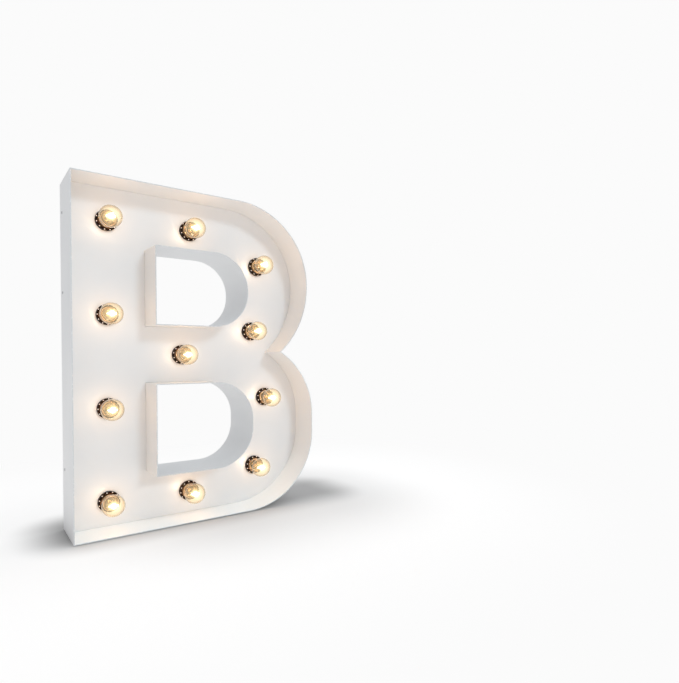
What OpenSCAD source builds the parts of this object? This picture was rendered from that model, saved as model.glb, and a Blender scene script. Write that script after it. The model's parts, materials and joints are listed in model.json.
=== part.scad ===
// Light-up letter: an open sheet-metal tray in the shape of a capital B, with a recessed face
// panel that carries eleven screw-in globe lamps, and a cavity behind it for the wiring.
// The letter stands on four low feet, faces -Y, and has its origin under the middle of its box.

/* [Letter] */
// Height of the letter above its feet
letter_h = 610; // [590:1:650]
// Depth from the front lip to the rear edge
letter_d = 105; // [100:1:130]
// Width across the lower bowl
lower_w = 458; // [440:1:500]
// Width across the upper bowl
upper_w = 445; // [430:1:480]
// Width of the stem, from its side to the counters
stem_w = 134; // [120:1:145]
// Thickness of the sheet metal
sheet_t = 1.5; // [1:0.1:2]

/* [Bowls] */
// Radius of the upper bowl's top corner
upper_top_r = 154; // [130:1:160]
// Height at which the upper bowl's underside would run level
upper_bowl_low = 272; // [255:1:285]
// Straight stretch between the two corners of the upper bowl
upper_straight = 2; // [1:1:20]
// Height at which the lower bowl's top would run level
lower_bowl_high = 339; // [330:1:350]
// Radius of the lower bowl's top corner
lower_top_r = 155; // [140:1:160]
// Radius of the lower bowl's bottom corner
lower_low_r = 147; // [130:1:160]

/* [Counters] */
// Height of the bar above the upper counter
top_bar = 107; // [100:1:115]
// Width of the upper bowl beside its counter
upper_band = 137; // [130:1:150]
// Height of the crossbar's lower edge
crossbar_low = 257; // [245:1:265]
// Height of the crossbar between the counters
crossbar_h = 108; // [100:1:120]
// Height of the bar below the lower counter
bottom_bar = 95; // [90:1:105]
// Width of the lower bowl beside its counter
lower_band = 140; // [130:1:150]
// Corner radius of the upper counter
upper_counter_r = 67; // [40:1:67]
// Corner radius of the lower counter
lower_counter_r = 73; // [40:1:75]

/* [Tray] */
// Depth of the face panel behind the front lip
face_depth = 68; // [64:1:70]
// Distance of the rear cover in from the rear edge
rear_inset = 6; // [5.5:0.5:7]
// Gap round the face panel and the rear cover
panel_gap = 0.2; // [0.2:0.1:0.4]

/* [Lamp places] */
// Height of the lowest lamp on the stem
stem_lamp_low = 46.5; // [40:0.5:60]
// Distance of the highest lamp on the stem from the top
stem_lamp_drop = 60; // [50:0.5:70]
// Distance of the top bar's lamp from the stem
top_lamp_x = 82; // [70:1:95]
// Distance of the top bar's lamp from the top
top_lamp_drop = 58; // [45:1:65]
// Distance of the crossbar's lamp from the stem
mid_lamp_x = 66; // [50:1:80]
// Distance of the bottom bar's lamp from the stem
low_lamp_x = 78; // [65:1:95]
// Height of the bottom bar's lamp
low_lamp_z = 44.5; // [40:0.5:55]
// Distance of the upper bowl's high lamp in from the side
upper_high_lamp_in = 84.5; // [70:0.5:90]
// Distance of the upper bowl's high lamp from the top
upper_high_lamp_drop = 113; // [105:1:125]
// Distance of the upper bowl's low lamp in from the side
upper_low_lamp_in = 99.5; // [80:0.5:105]
// Distance of the upper bowl's low lamp below the upper counter
upper_low_lamp_drop = 5; // [0:1:20]
// Distance of the lower bowl's high lamp in from the side
lower_high_lamp_in = 80.5; // [70:0.5:90]
// Distance of the lower bowl's high lamp below the crossbar's lower edge
lower_high_lamp_drop = 36; // [20:1:45]
// Distance of the lower bowl's low lamp in from the side
lower_low_lamp_in = 106; // [95:1:115]
// Height of the lower bowl's low lamp
lower_low_lamp_z = 77; // [65:1:85]

/* [Lamp] */
// Diameter of the glass globe
globe_d = 38.5; // [36:0.5:42]
// Distance of the globe's centre in front of the face panel
globe_out = 36.5; // [34:0.5:42]
// Thickness of the glass
glass_t = 0.8; // [0.6:0.1:1.2]
// Diameter of the glass neck
neck_d = 24.6; // [22:0.1:24.8]
// Radius of the hollow curve from the neck to the globe
neck_round = 7; // [4:0.5:9]
// Diameter of the cap's thread over its crests
cap_d = 26; // [25.8:0.1:26.2]
// Depth of the cap's thread
thread_depth = 0.8; // [0.5:0.1:1]
// Pitch of the thread
thread_pitch = 3.63; // [3.5:0.01:3.7]
// Thickness of the cap's metal
cap_t = 0.4; // [0.3:0.1:0.5]
// Diameter of the flared end of the cap's skirt
skirt_d = 27.6; // [27:0.1:28.4]
// Height of the flared end of the skirt
skirt_flare_h = 2; // [1:0.5:3]
// Diameter of the cap's end contact
tip_d = 9; // [7:0.5:10]
// Diameter of the filament's wire supports
lead_d = 0.8; // [0.6:0.1:1.2]
// Diameter of the glowing coil
coil_d = 1.6; // [1:0.1:2]
// Radius of the arc that the coil hangs in
coil_arc_r = 7; // [5:0.5:9]
// Diameter of the glass stem
stem_d = 6; // [5:0.5:8]
// Distance of the glass stem's end behind the globe's centre
stem_drop = 16; // [12:0.5:18]

/* [Lamp holder] */
// Diameter of the shade ring in front of the panel
shade_ring_d = 37.5; // [36.5:0.5:42]
// Height of the shade ring in front of the panel
shade_ring_h = 9; // [8:0.5:10]
// Width of the shade ring's front bevel
ring_bevel = 2; // [1.6:0.1:2.2]
// Thickness of the shade ring's front
ring_front_t = 1.5; // [1:0.1:2]
// Step from the holder's mouth out to the shade ring's lip
lip_step = 0.6; // [0.4:0.1:1]
// Diameter of the holder's barrel, which goes through the panel
barrel_d = 33; // [32.5:0.5:34]
// Diameter of the holder's open mouth
mouth_d = 29.2; // [28.8:0.1:29.6]
// Length of the holder behind the panel's front
holder_back = 25; // [24:0.5:26]
// Diameter of the holder's collar behind the panel
collar_d = 37; // [36:0.5:42]
// Thickness of the holder's collar
collar_t = 3; // [2:0.5:5]
// Thickness of the holder's floor
floor_t = 3.5; // [3:0.5:4]
// Distance of the holder's threaded part in front of the panel
bore_end = 3; // [2.5:0.1:3.5]
// Thickness of the threaded shell in the holder
shell_t = 0.7; // [0.5:0.1:0.7]
// Number of small pockets round the shade ring
dot_count = 12; // [8:1:16]
// Diameter of each small pocket
dot_d = 2; // [1.5:0.1:2.4]
// Depth of each small pocket
dot_depth = 0.7; // [0.4:0.1:1]

/* [Wiring] */
// Diameter of an insulated wire
wire_d = 2.4; // [2:0.1:2.6]
// Distance of each terminal screw from the middle of its holder
terminal_off = 8.5; // [8:0.5:9]
// Diameter of a terminal screw's shank
terminal_d = 3; // [2.5:0.5:3]
// Diameter of a terminal screw's head
terminal_head_d = 6; // [5:0.5:6]
// Thickness of the eyelet under a terminal screw
eyelet_t = 0.9; // [0.6:0.1:1]
// Height of the inlet's middle
inlet_z = 130; // [120:1:140]
// Distance of the inlet's middle from the stem's side
inlet_x = 30; // [25:1:35]
// Height of the switch's middle
switch_z = 150; // [146:1:160]
// Distance of the switch's middle from the counters' side of the stem
switch_in = 30; // [24:1:34]
// Height of the earth stud above the inlet's middle
stud_up = 70; // [62:1:76]
// Distance from the earth stud down to the bend in its wire
stud_bend = 18; // [15:1:22]

/* [Inlet and switch] */
// Length of the inlet's flange
inlet_flange_l = 50; // [48:1:54]
// Width of the inlet's flange
inlet_flange_w = 23; // [22.5:0.5:28]
// Thickness of the inlet's flange
inlet_flange_t = 3; // [2:0.5:4]
// Distance between the inlet's two screws
inlet_screw_pitch = 40; // [38:0.5:42]
// Length of the inlet's socket
socket_l = 25; // [24:0.5:25.5]
// Width of the inlet's socket
socket_w = 17; // [16.6:0.1:17.4]
// Depth of the inlet's socket from its flange
socket_depth = 15; // [14:0.5:16]
// Wall of the inlet's body round the socket
inlet_wall = 1.5; // [1.2:0.1:1.8]
// Length of the switch's bezel
bezel_l = 21; // [20.5:0.5:24]
// Width of the switch's bezel
bezel_w = 15; // [14.5:0.5:18]
// Thickness of the switch's bezel
bezel_t = 1.5; // [1:0.1:2]
// Depth of the switch's housing behind the cover's outside
switch_depth = 15; // [13:0.5:17]
// Radius of the rocker's round ends about its pivot
rocker_r = 8; // [7:0.1:8.2]
// Width of the rocker
rocker_w = 9.4; // [8:0.1:9.6]
// Tilt of the rocker to each side
rocker_tilt = 10; // [6:1:12]
// Diameter of the rocker's pivot stubs
pivot_d = 2.4; // [2:0.1:2.8]

/* [Fixings] */
// Distance of the upper screw in the stem's side from the top
side_screw_drop = 54; // [45:1:65]
// Height of the middle screw in the stem's side
side_screw_mid = 418; // [405:1:440]
// Height of the low screw in the stem's side
side_screw_low = 110; // [100:1:120]
// Depth of the side screws behind the face panel's back
side_screw_back = 13; // [10:1:16]
// Diameter of a side screw's shank
side_screw_d = 3; // [2.5:0.5:3.5]
// Diameter of a side screw's head
side_screw_head_d = 5.4; // [5:0.1:7]
// Height of a side screw's head
side_screw_head_h = 1.2; // [0.8:0.1:1.4]
// Width of a bracket along its wall
bracket_w = 14; // [12:1:16]
// Length of a bracket's two legs
bracket_leg = 20; // [18:1:24]
// Thickness of a bracket
bracket_t = 2; // [1.5:0.5:2.5]
// Distance of the top bar's first bracket from the stem
top_bracket_out = 20; // [12:1:30]
// Distance of the top bar's second bracket from the bend
top_bracket_in = 25; // [20:1:30]
// Distance of the bottom bar's second bracket from the bend
low_bracket_in = 15; // [12:1:16]
// Distance of the lower counter's stem bracket from its bottom
counter_bracket_up = 25; // [20:1:30]
// Distance of the counters' level brackets from their round ends
counter_bracket_in = 20; // [14:1:24]
// Diameter of a pillar between the panel and the cover
pillar_d = 8; // [7:0.5:10]
// Distance of the outer pillars from the walls
pillar_in = 20; // [16:1:22]
// Diameter of a cover screw's shank
cover_screw_d = 4; // [3:0.5:4]
// Diameter of a cover screw's head
cover_screw_head_d = 8; // [7:0.5:9]
// Height of a cover screw's head
cover_screw_head_h = 2.4; // [2:0.1:3]
// Depth of a cover screw in its pillar
cover_screw_reach = 10; // [8:1:14]
// Diameter of a foot
foot_d = 16; // [12:1:20]
// Height of a foot
foot_h = 2; // [1.6:0.1:4]
// Distance of a foot's middle from the stem side, and from the bend of the lower bowl
foot_end = 25.5; // [20:0.5:35]
// Distance of a foot's middle in from the front and the rear edge
foot_in = 15; // [11:1:25]
// Diameter of the wall hook's head hole
keyhole_d = 9; // [8:0.5:10]
// Width of the wall hook's slot
keyhole_slot_w = 4.6; // [4:0.1:5]
// Length of the wall hook's slot
keyhole_slot_l = 12; // [9:1:14]
// Distance between the two wall hooks
keyhole_pitch = 150; // [140:1:160]
// Distance of the wall hooks' head holes from the top
keyhole_drop = 36; // [34:1:40]

/* [Hidden] */
$fn = 96;
// Small overlap for cuts that run past a face
past = 1;
// Gap between a piece that turns and the piece that carries it
turn_gap = 0.4;
// Gap round a piece that sits in another piece
seat_gap = 0.1;
// Gap round a pivot stub
pivot_gap = 0.05;

// Outline
letter_w = max(upper_w, lower_w);
upper_low_r = letter_h - upper_bowl_low - upper_top_r - upper_straight;
counter_low = crossbar_low + crossbar_h;
counter_high = letter_h - top_bar;
upper_counter_w = upper_w - upper_band;
lower_counter_w = lower_w - lower_band;
upper_round = min(upper_counter_r, (counter_high - counter_low) / 2 - upper_straight);
lower_round = min(lower_counter_r, (crossbar_low - bottom_bar) / 2 - upper_straight);

// Height of the notch where the two bowls meet, from the two corner circles
notch_a = [upper_w - upper_low_r, upper_bowl_low + upper_low_r];
notch_b = [lower_w - lower_top_r, lower_bowl_high - lower_top_r];
notch_gap = norm(notch_b - notch_a);
notch_along = (notch_gap ^ 2 + upper_low_r ^ 2 - lower_top_r ^ 2) / (2 * notch_gap);
notch_across = sqrt(upper_low_r ^ 2 - notch_along ^ 2);
notch_dir = (notch_b - notch_a) / notch_gap;
notch_z = notch_a[1] + notch_along * notch_dir[1] + notch_across * notch_dir[0];

// Depths, from the front lip
face_back = face_depth + sheet_t;
cover_out = letter_d - rear_inset;
cover_front = cover_out - sheet_t;

// Lamp places, as x from the stem's side and z from the bottom
stem_pitch = (letter_h - stem_lamp_low - stem_lamp_drop) / 3;
LAMPS = [
    [stem_w / 2, stem_lamp_low + 3 * stem_pitch],
    [stem_w / 2, stem_lamp_low + 2 * stem_pitch],
    [stem_w / 2, stem_lamp_low + stem_pitch],
    [stem_w / 2, stem_lamp_low],
    [stem_w + top_lamp_x, letter_h - top_lamp_drop],
    [stem_w + mid_lamp_x, crossbar_low + crossbar_h / 2],
    [stem_w + low_lamp_x, low_lamp_z],
    [upper_w - upper_high_lamp_in, letter_h - upper_high_lamp_drop],
    [upper_w - upper_low_lamp_in, counter_low - upper_low_lamp_drop],
    [lower_w - lower_high_lamp_in, crossbar_low - lower_high_lamp_drop],
    [lower_w - lower_low_lamp_in, lower_low_lamp_z]
];
LAMP_NUMBERS = [for (n = [1 : len(LAMPS)]) n];

// Lamps in the order that the wiring visits them, counted from 1
CHAIN = [6, 9, 8, 5, 1, 2, 3, 4, 7, 11, 10];
STOPS = [for (n = CHAIN) LAMPS[n - 1]];
last_stop = len(STOPS) - 1;
// Ways into and out of each stop, and the angle of the wiring as it passes
function way_in(k) = k == 0 ? [0, 0] : (STOPS[k] - STOPS[k - 1]) / norm(STOPS[k] - STOPS[k - 1]);
function way_out(k) = k == last_stop ? [0, 0] : way_in(k + 1);
function pass_angle(k) = atan2((way_in(k) + way_out(k))[1], (way_in(k) + way_out(k))[0]);
// Live runs on the left of the way, neutral on the right
LIVE = 1;
NEUTRAL = -1;
function terminal(k, side) = STOPS[k] + side * terminal_off * [-sin(pass_angle(k)), cos(pass_angle(k))];

// Lamp and holder, as distances in front of the face panel
cap_r = cap_d / 2;
neck_r = neck_d / 2;
skirt_end = shade_ring_h + skirt_flare_h;
bore_r = cap_r + turn_gap + shell_t + seat_gap;
shell_end = bore_end - seat_gap;
thread_top = shell_end - past;
holder_floor = floor_t - holder_back;
thread_turns = 4;
thread_flank = 0.35;
thread_end = thread_top - thread_turns * thread_pitch;
insulator_h = 2.5;
tip_h = 1.5;
tip_end = thread_end - insulator_h - tip_h;
neck_end = thread_top + turn_gap;
skirt_bore_r = neck_r + seat_gap;
barrel_end = shade_ring_h - ring_front_t;
lip_r = mouth_d / 2 + lip_step;

// Terminals and wires, as distances in front of the face panel
terminal_head_h = 1.8;
terminal_floor = 1;
terminal_reach = floor_t - terminal_floor;
terminal_head_end = -holder_back - eyelet_t - terminal_head_h;
wire_level = -holder_back - seat_gap - wire_d / 2;
wire_start = terminal_head_d / 2 + turn_gap;
eyelet_r = wire_start + wire_d / 3;

// Inlet and switch
inlet_cut_l = socket_l + 2 * inlet_wall + 2 * seat_gap;
inlet_cut_w = socket_w + 2 * inlet_wall + 2 * seat_gap;
inlet_body_end = cover_out + inlet_flange_t - socket_depth - inlet_wall;
pin_w = 4;
pin_t = 2;
pin_short = 2;
pin_pitch = 7;
pin_off = 2;
tab_w = 4;
tab_t = 1;
tab_l = 6;
tab_sink = 2;
inlet_screw_d = 3;
inlet_screw_head_d = 5.4;
inlet_screw_head_h = 1.6;
inlet_nut_d = 6;
inlet_nut_t = 2.4;
PINS = [[pin_off, pin_pitch], [pin_off, -pin_pitch], [-pin_off, 0]];
switch_x = stem_w - switch_in;
switch_wall = 1;
well_l = 2 * rocker_r + 2 * turn_gap;
well_w = rocker_w + 2 * turn_gap;
well_end = cover_out - rocker_r - turn_gap;
switch_l = well_l + 2 * switch_wall;
switch_w = well_w + 2 * switch_wall;
pivot_at = cover_out - pivot_d;
switch_end = cover_out - switch_depth;
tab_end = min(inlet_body_end, switch_end) - tab_l;
switch_tab_z = 6;
stub_l = 0.8;
rocker_back = 3;
rocker_proud = 0.4;

// Feeds, as x, depth and z: chosen by hand to keep clear of the holders
feed_level = tab_end - wire_d / 2;
live_feed_z = switch_z + switch_tab_z;
neutral_feed_z = inlet_z - pin_pitch;
feed_stop = 7;
function run_x(side, z) = lookup(z, [for (k = [feed_stop - 1, feed_stop])
    [terminal(k, side)[1], terminal(k, side)[0]]]);
main_depth = face_depth - wire_level;
stud_z = inlet_z + stud_up;
stud_d = 5;
stud_nut_d = 9;
stud_nut_t = 2.5;
lug_t = 1;
lug_rim = 1.5;
lug_depth = cover_front - stud_nut_t - lug_t;

// Brackets, each as x, z of its wall's inner face and the way into the tray
side_in = sheet_t + panel_gap;
BRACKETS = [
    [[sheet_t, letter_h - side_screw_drop], 0],
    [[sheet_t, side_screw_mid], 0],
    [[sheet_t, side_screw_low], 0],
    [[stem_w + top_bracket_out, letter_h - sheet_t], 270],
    [[upper_w - upper_top_r - top_bracket_in, letter_h - sheet_t], 270],
    [[upper_w - sheet_t, letter_h - upper_top_r - upper_straight / 2], 180],
    [[stem_w, sheet_t], 90],
    [[lower_w - lower_low_r - low_bracket_in, sheet_t], 90],
    [[lower_w - sheet_t, (lower_low_r + lower_bowl_high - lower_top_r) / 2], 180],
    [[stem_w - sheet_t, (counter_low + counter_high) / 2], 180],
    [[stem_w - sheet_t, bottom_bar + counter_bracket_up], 180],
    [[upper_counter_w - upper_round - counter_bracket_in, counter_low - sheet_t], 270],
    [[lower_counter_w - lower_round - counter_bracket_in, crossbar_low + sheet_t], 90]
];

// Pillars between the face panel and the rear cover
PILLARS = [
    [pillar_in, pillar_in],
    [pillar_in, crossbar_low + crossbar_h / 2],
    [pillar_in, letter_h - pillar_in],
    [stem_w + top_lamp_x, letter_h - pillar_in],
    [upper_w - bracket_leg - pillar_in, letter_h - upper_top_r],
    [stem_w - pillar_in, crossbar_low + crossbar_h / 2],
    [upper_counter_w, crossbar_low + crossbar_h / 2 - pillar_in],
    [lower_w - pillar_in, lower_low_r - pillar_in],
    [lower_counter_w - lower_round, pillar_in]
];

// Feet under the bottom, and wall hooks near the top
FEET = [for (x = [foot_end, lower_w - lower_low_r - foot_end], d = [foot_in, letter_d - foot_in]) [x, d]];
hook_x = upper_w - upper_top_r - keyhole_pitch;
HOOKS = [hook_x, hook_x + keyhole_pitch];

FIXED = [
    "left_side", "upper_bowl_side", "lower_bowl_side", "upper_counter_wall", "lower_counter_wall",
    "face_panel", "rear_cover", "wall_brackets", "side_screws", "cover_pillars", "cover_screws",
    "lamp_holders", "shade_rings", "screw_shells", "centre_contacts", "terminal_screws",
    "live_wire", "neutral_wire", "earth_wire", "earth_stud", "inlet_body", "inlet_pins",
    "inlet_screws", "switch_housing", "switch_terminals", "switch_rocker", "feet"
];

// Moves the letter's corner, at its front, bottom and stem side, to its place in the frame
module placed() {
    translate([-letter_w / 2, -letter_d / 2, foot_h]) children();
}

// Gives a flat shape in x and z its thickness, between two depths
module slab(front, back) {
    translate([0, back, 0]) rotate([90, 0, 0]) linear_extrude(back - front) children();
}

// Stands a turned piece on the face panel, with its own z towards the front
module on_panel(place) {
    translate([place[0], face_depth, place[1]]) rotate([90, 0, 0]) children();
}

// Puts a copy of a piece at every holder, with its own x along the wiring
module at_holders() {
    placed() for (k = [0 : last_stop]) on_panel(STOPS[k]) rotate(pass_angle(k)) children();
}

// Cylinder along the depth, between two depths
module pin(place, d, front, back) {
    translate([place[0], back, place[1]]) rotate([90, 0, 0]) cylinder(h = back - front, d = d);
}

// Outside of a rounded corner, to cut from a square one
module corner(centre, r, up) {
    translate(centre) mirror([0, up ? 0 : 1]) difference() {
        square(r + past);
        circle(r);
    }
}

// Square on the left and round on the right
module d_shape(left, right, low, high, low_r, high_r) {
    difference() {
        translate([left, low]) square([right - left, high - low]);
        corner([right - high_r, high - high_r], high_r, true);
        corner([right - low_r, low + low_r], low_r, false);
    }
}

// Letter's outer outline, drawn in from the outside by a distance
module outline(in) {
    d_shape(in, upper_w - in, upper_bowl_low + in, letter_h - in, upper_low_r - in, upper_top_r - in);
    d_shape(in, lower_w - in, in, lower_bowl_high - in, lower_low_r - in, lower_top_r - in);
}

// Upper counter's outline, drawn out into the letter by a distance
module upper_counter(out) {
    d_shape(stem_w - out, upper_counter_w + out, counter_low - out, counter_high + out,
        upper_round + out, upper_round + out);
}

// Lower counter's outline, drawn out into the letter by a distance
module lower_counter(out) {
    d_shape(stem_w - out, lower_counter_w + out, bottom_bar - out, crossbar_low + out,
        lower_round + out, lower_round + out);
}

// Flat sheet that fills the letter between its walls
module letter_sheet() {
    difference() {
        outline(side_in);
        upper_counter(side_in);
        lower_counter(side_in);
    }
}

// Outer wall's section between two heights, without the stem's side
module bowl_strip(low, high) {
    intersection() {
        difference() {
            outline(0);
            outline(sheet_t);
        }
        translate([sheet_t, low]) square([letter_w, high - low]);
    }
}

// Screw holes through the walls, one for each bracket
module side_holes() {
    for (b = BRACKETS) side_screw_axis(b)
        translate([0, 0, -bracket_leg]) cylinder(h = 2 * bracket_leg, d = side_screw_d + 2 * seat_gap);
}

// Turns z to point into the tray at a bracket's screw
module side_screw_axis(b) {
    translate([b[0][0], face_back + side_screw_back, b[0][1]]) rotate([0, 90 - b[1], 0]) children();
}

module left_side() {
    color("gainsboro") placed() difference() {
        slab(0, letter_d) square([sheet_t, letter_h]);
        side_holes();
    }
}

module upper_bowl_side() {
    color("whitesmoke") placed() difference() {
        slab(0, letter_d) bowl_strip(notch_z, letter_h);
        side_holes();
    }
}

module lower_bowl_side() {
    color("whitesmoke") placed() difference() {
        slab(0, letter_d) bowl_strip(0, notch_z);
        side_holes();
    }
}

module upper_counter_wall() {
    color("linen") placed() difference() {
        slab(0, letter_d) difference() {
            upper_counter(sheet_t);
            upper_counter(0);
        }
        side_holes();
    }
}

module lower_counter_wall() {
    color("linen") placed() difference() {
        slab(0, letter_d) difference() {
            lower_counter(sheet_t);
            lower_counter(0);
        }
        side_holes();
    }
}

module face_panel() {
    color("white") placed() difference() {
        slab(face_depth, face_back) letter_sheet();
        for (place = LAMPS)
            pin(place, barrel_d + 2 * seat_gap, face_depth - past, face_back + past);
    }
}

// Hole for a hook's head with a slot above it for its neck
module keyhole() {
    circle(d = keyhole_d);
    translate([-keyhole_slot_w / 2, 0]) square([keyhole_slot_w, keyhole_slot_l]);
    translate([0, keyhole_slot_l]) circle(d = keyhole_slot_w);
}

module rear_cover() {
    color("gainsboro") placed() difference() {
        slab(cover_front, cover_out) letter_sheet();
        for (place = PILLARS)
            pin(place, cover_screw_d + 2 * seat_gap, cover_front - past, cover_out + past);
        for (side = [-1, 1])
            pin([inlet_x, inlet_z + side * inlet_screw_pitch / 2], inlet_screw_d + 2 * seat_gap,
                cover_front - past, cover_out + past);
        slab(cover_front - past, cover_out + past) {
            for (x = HOOKS) translate([x, letter_h - keyhole_drop]) keyhole();
            translate([inlet_x, inlet_z]) square([inlet_cut_w, inlet_cut_l], center = true);
            translate([switch_x, switch_z])
                square([switch_w + 2 * seat_gap, switch_l + 2 * seat_gap], center = true);
        }
    }
}

// Angle with one leg along the wall and the other on the back of the face panel
module wall_bracket(b) {
    translate([b[0][0], face_back, b[0][1]]) rotate([0, -b[1], 0]) difference() {
        union() {
            translate([panel_gap, 0, -bracket_w / 2]) cube([bracket_t, bracket_leg, bracket_w]);
            translate([panel_gap, 0, -bracket_w / 2]) cube([bracket_leg, bracket_t, bracket_w]);
        }
        translate([0, side_screw_back, 0]) rotate([0, 90, 0])
            cylinder(h = bracket_leg, d = side_screw_d + 2 * seat_gap);
    }
}

module wall_brackets() {
    color("silver") placed() for (b = BRACKETS) wall_bracket(b);
}

// Screw with a low round head on the wall's outside
module side_screw() {
    reach = panel_gap + 2 * bracket_t;
    translate([0, 0, -sheet_t]) cylinder(h = sheet_t + reach, d = side_screw_d);
    translate([0, 0, -sheet_t - side_screw_head_h])
        cylinder(h = side_screw_head_h, d1 = side_screw_head_d - side_screw_head_h, d2 = side_screw_head_d);
}

module side_screws() {
    color("gray") placed() for (b = BRACKETS) side_screw_axis(b) side_screw();
}

module cover_pillars() {
    color("silver") placed() for (place = PILLARS) difference() {
        pin(place, pillar_d, face_back, cover_front);
        pin(place, cover_screw_d + 2 * seat_gap, cover_front - cover_screw_reach - past, cover_front + past);
    }
}

module cover_screws() {
    color("gray") placed() for (place = PILLARS) {
        pin(place, cover_screw_d, cover_front - cover_screw_reach, cover_out);
        pin(place, cover_screw_head_d, cover_out, cover_out + cover_screw_head_h);
    }
}

// Holder's barrel, with a collar behind the panel and a floor that carries the contacts
module lamp_holder() {
    difference() {
        rotate_extrude() polygon([
            [0, -holder_back],
            [barrel_d / 2, -holder_back],
            [barrel_d / 2, -sheet_t - collar_t],
            [collar_d / 2, -sheet_t - collar_t],
            [collar_d / 2, -sheet_t],
            [barrel_d / 2, -sheet_t],
            [barrel_d / 2, barrel_end],
            [mouth_d / 2, barrel_end],
            [mouth_d / 2, bore_end],
            [bore_r, bore_end],
            [bore_r, holder_floor],
            [0, holder_floor]
        ]);
        for (side = [LIVE, NEUTRAL]) translate([0, side * terminal_off, -holder_back - past])
            cylinder(h = terminal_reach + past + seat_gap, d = terminal_d + 2 * seat_gap);
    }
}

module lamp_holders() {
    color("#3a2b22") at_holders() lamp_holder();
}

// Ring that screws on to the barrel in front of the panel, with a bevelled front and a ring of pockets
module shade_ring() {
    r = shade_ring_d / 2;
    dot_r = r - ring_bevel / 2;
    difference() {
        rotate_extrude() polygon([
            [barrel_d / 2 + seat_gap, 0],
            [r, 0],
            [r, shade_ring_h - ring_bevel],
            [r - ring_bevel, shade_ring_h],
            [lip_r, shade_ring_h],
            [lip_r, barrel_end + seat_gap],
            [barrel_d / 2 + seat_gap, barrel_end + seat_gap]
        ]);
        for (n = [0 : dot_count - 1]) rotate(n * 360 / dot_count)
            translate([dot_r, 0, shade_ring_h - ring_bevel / 2]) rotate([0, 45, 0])
                translate([0, 0, -dot_depth]) cylinder(h = dot_depth + past, d = dot_d);
    }
}

module shade_rings() {
    color("#241a15") at_holders() shade_ring();
}

// Outer points of a thread drawn as rings, from its foot up
function thread_points(root_r, crest_r, foot, turns) = [
    for (n = [0 : turns - 1], p = [
        [root_r, 0],
        [crest_r, thread_flank],
        [crest_r, 1 - thread_flank],
        [root_r, 1]
    ])
        if (p[1] < 1 || n == turns - 1) [p[0], foot + (n + p[1]) * thread_pitch]
];

// Threaded sleeve that lines the holder
module screw_shell() {
    inner_r = cap_r + turn_gap;
    turns = floor((shell_end - holder_floor) / thread_pitch);
    foot = shell_end - turns * thread_pitch;
    rotate_extrude() polygon(concat(
        [[inner_r + shell_t, foot], [inner_r + shell_t, shell_end]],
        [for (p = thread_points(inner_r + shell_t / 3, inner_r, 0, turns)) [p[0], shell_end - p[1]]]
    ));
}

module screw_shells() {
    color("burlywood") at_holders() screw_shell();
}

// Domed stud on the holder's floor, just behind the lamp's end contact
module centre_contacts() {
    contact_h = tip_end - turn_gap - holder_floor;
    color("goldenrod") at_holders() translate([0, 0, holder_floor]) {
        cylinder(h = contact_h, d1 = tip_d, d2 = tip_d / 2);
    }
}

module terminal_screws() {
    color("goldenrod") at_holders() for (side = [LIVE, NEUTRAL])
        translate([0, side * terminal_off, terminal_head_end]) {
            cylinder(h = terminal_head_h, d = terminal_head_d);
            cylinder(h = terminal_head_h + eyelet_t + terminal_reach, d = terminal_d);
        }
}

// Round rod between two points
module rod(from, to, d) {
    way = to - from;
    flat = norm([way[0], way[1]]);
    translate(from) rotate([0, atan2(flat, way[2]), atan2(way[1], way[0])]) cylinder(h = norm(way), d = d);
}

// Wire through a list of points, with round bends
module wire(points) {
    for (n = [1 : len(points) - 1]) rod(points[n - 1], points[n], wire_d);
    for (n = [1 : len(points) - 1]) translate(points[n]) sphere(d = wire_d);
}

// Eyelets under one side's terminal screws, joined from lamp to lamp
module lamp_chain(side) {
    for (k = [0 : last_stop]) on_panel(terminal(k, side)) translate([0, 0, -holder_back - eyelet_t])
        difference() {
            cylinder(h = eyelet_t, r = eyelet_r);
            translate([0, 0, -past]) cylinder(h = eyelet_t + 2 * past, d = terminal_d + 2 * seat_gap);
        }
    for (k = [1 : last_stop]) {
        a = terminal(k - 1, side);
        b = terminal(k, side);
        trim = wire_start * (b - a) / norm(b - a);
        start = a + trim;
        end = b - trim;
        rod([start[0], main_depth, start[1]], [end[0], main_depth, end[1]], wire_d);
    }
}

module live_wire() {
    x = run_x(LIVE, live_feed_z);
    color("saddlebrown") placed() {
        union() {
            lamp_chain(LIVE);
            wire([
                [switch_x, feed_level, live_feed_z],
                [x, feed_level, live_feed_z],
                [x, main_depth, live_feed_z]
            ]);
        }
        wire([
            [inlet_x + pin_off, feed_level, inlet_z + pin_pitch],
            [switch_x, feed_level, switch_z - switch_tab_z]
        ]);
    }
}

module neutral_wire() {
    x = run_x(NEUTRAL, neutral_feed_z);
    color("steelblue") placed() {
        lamp_chain(NEUTRAL);
        wire([
            [inlet_x + pin_off, feed_level, neutral_feed_z],
            [x, feed_level, neutral_feed_z],
            [x, main_depth, neutral_feed_z]
        ]);
    }
}

module earth_wire() {
    lug_r = stud_nut_d / 2 + lug_rim;
    lug_mid = lug_depth + lug_t / 2;
    lug_z = stud_z - stud_nut_d / 2 - turn_gap - wire_d / 2;
    turn_z = stud_z - stud_bend;
    stud_x = inlet_x - pin_off;
    color("yellowgreen") placed() {
        difference() {
            pin([stud_x, stud_z], 2 * lug_r, lug_depth, lug_depth + lug_t);
            pin([stud_x, stud_z], stud_d + 2 * seat_gap, lug_depth - past, lug_depth + lug_t + past);
        }
        wire([
            [stud_x, feed_level, inlet_z],
            [stud_x, feed_level, turn_z],
            [stud_x, lug_mid, turn_z],
            [stud_x, lug_mid, lug_z]
        ]);
    }
}

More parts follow.
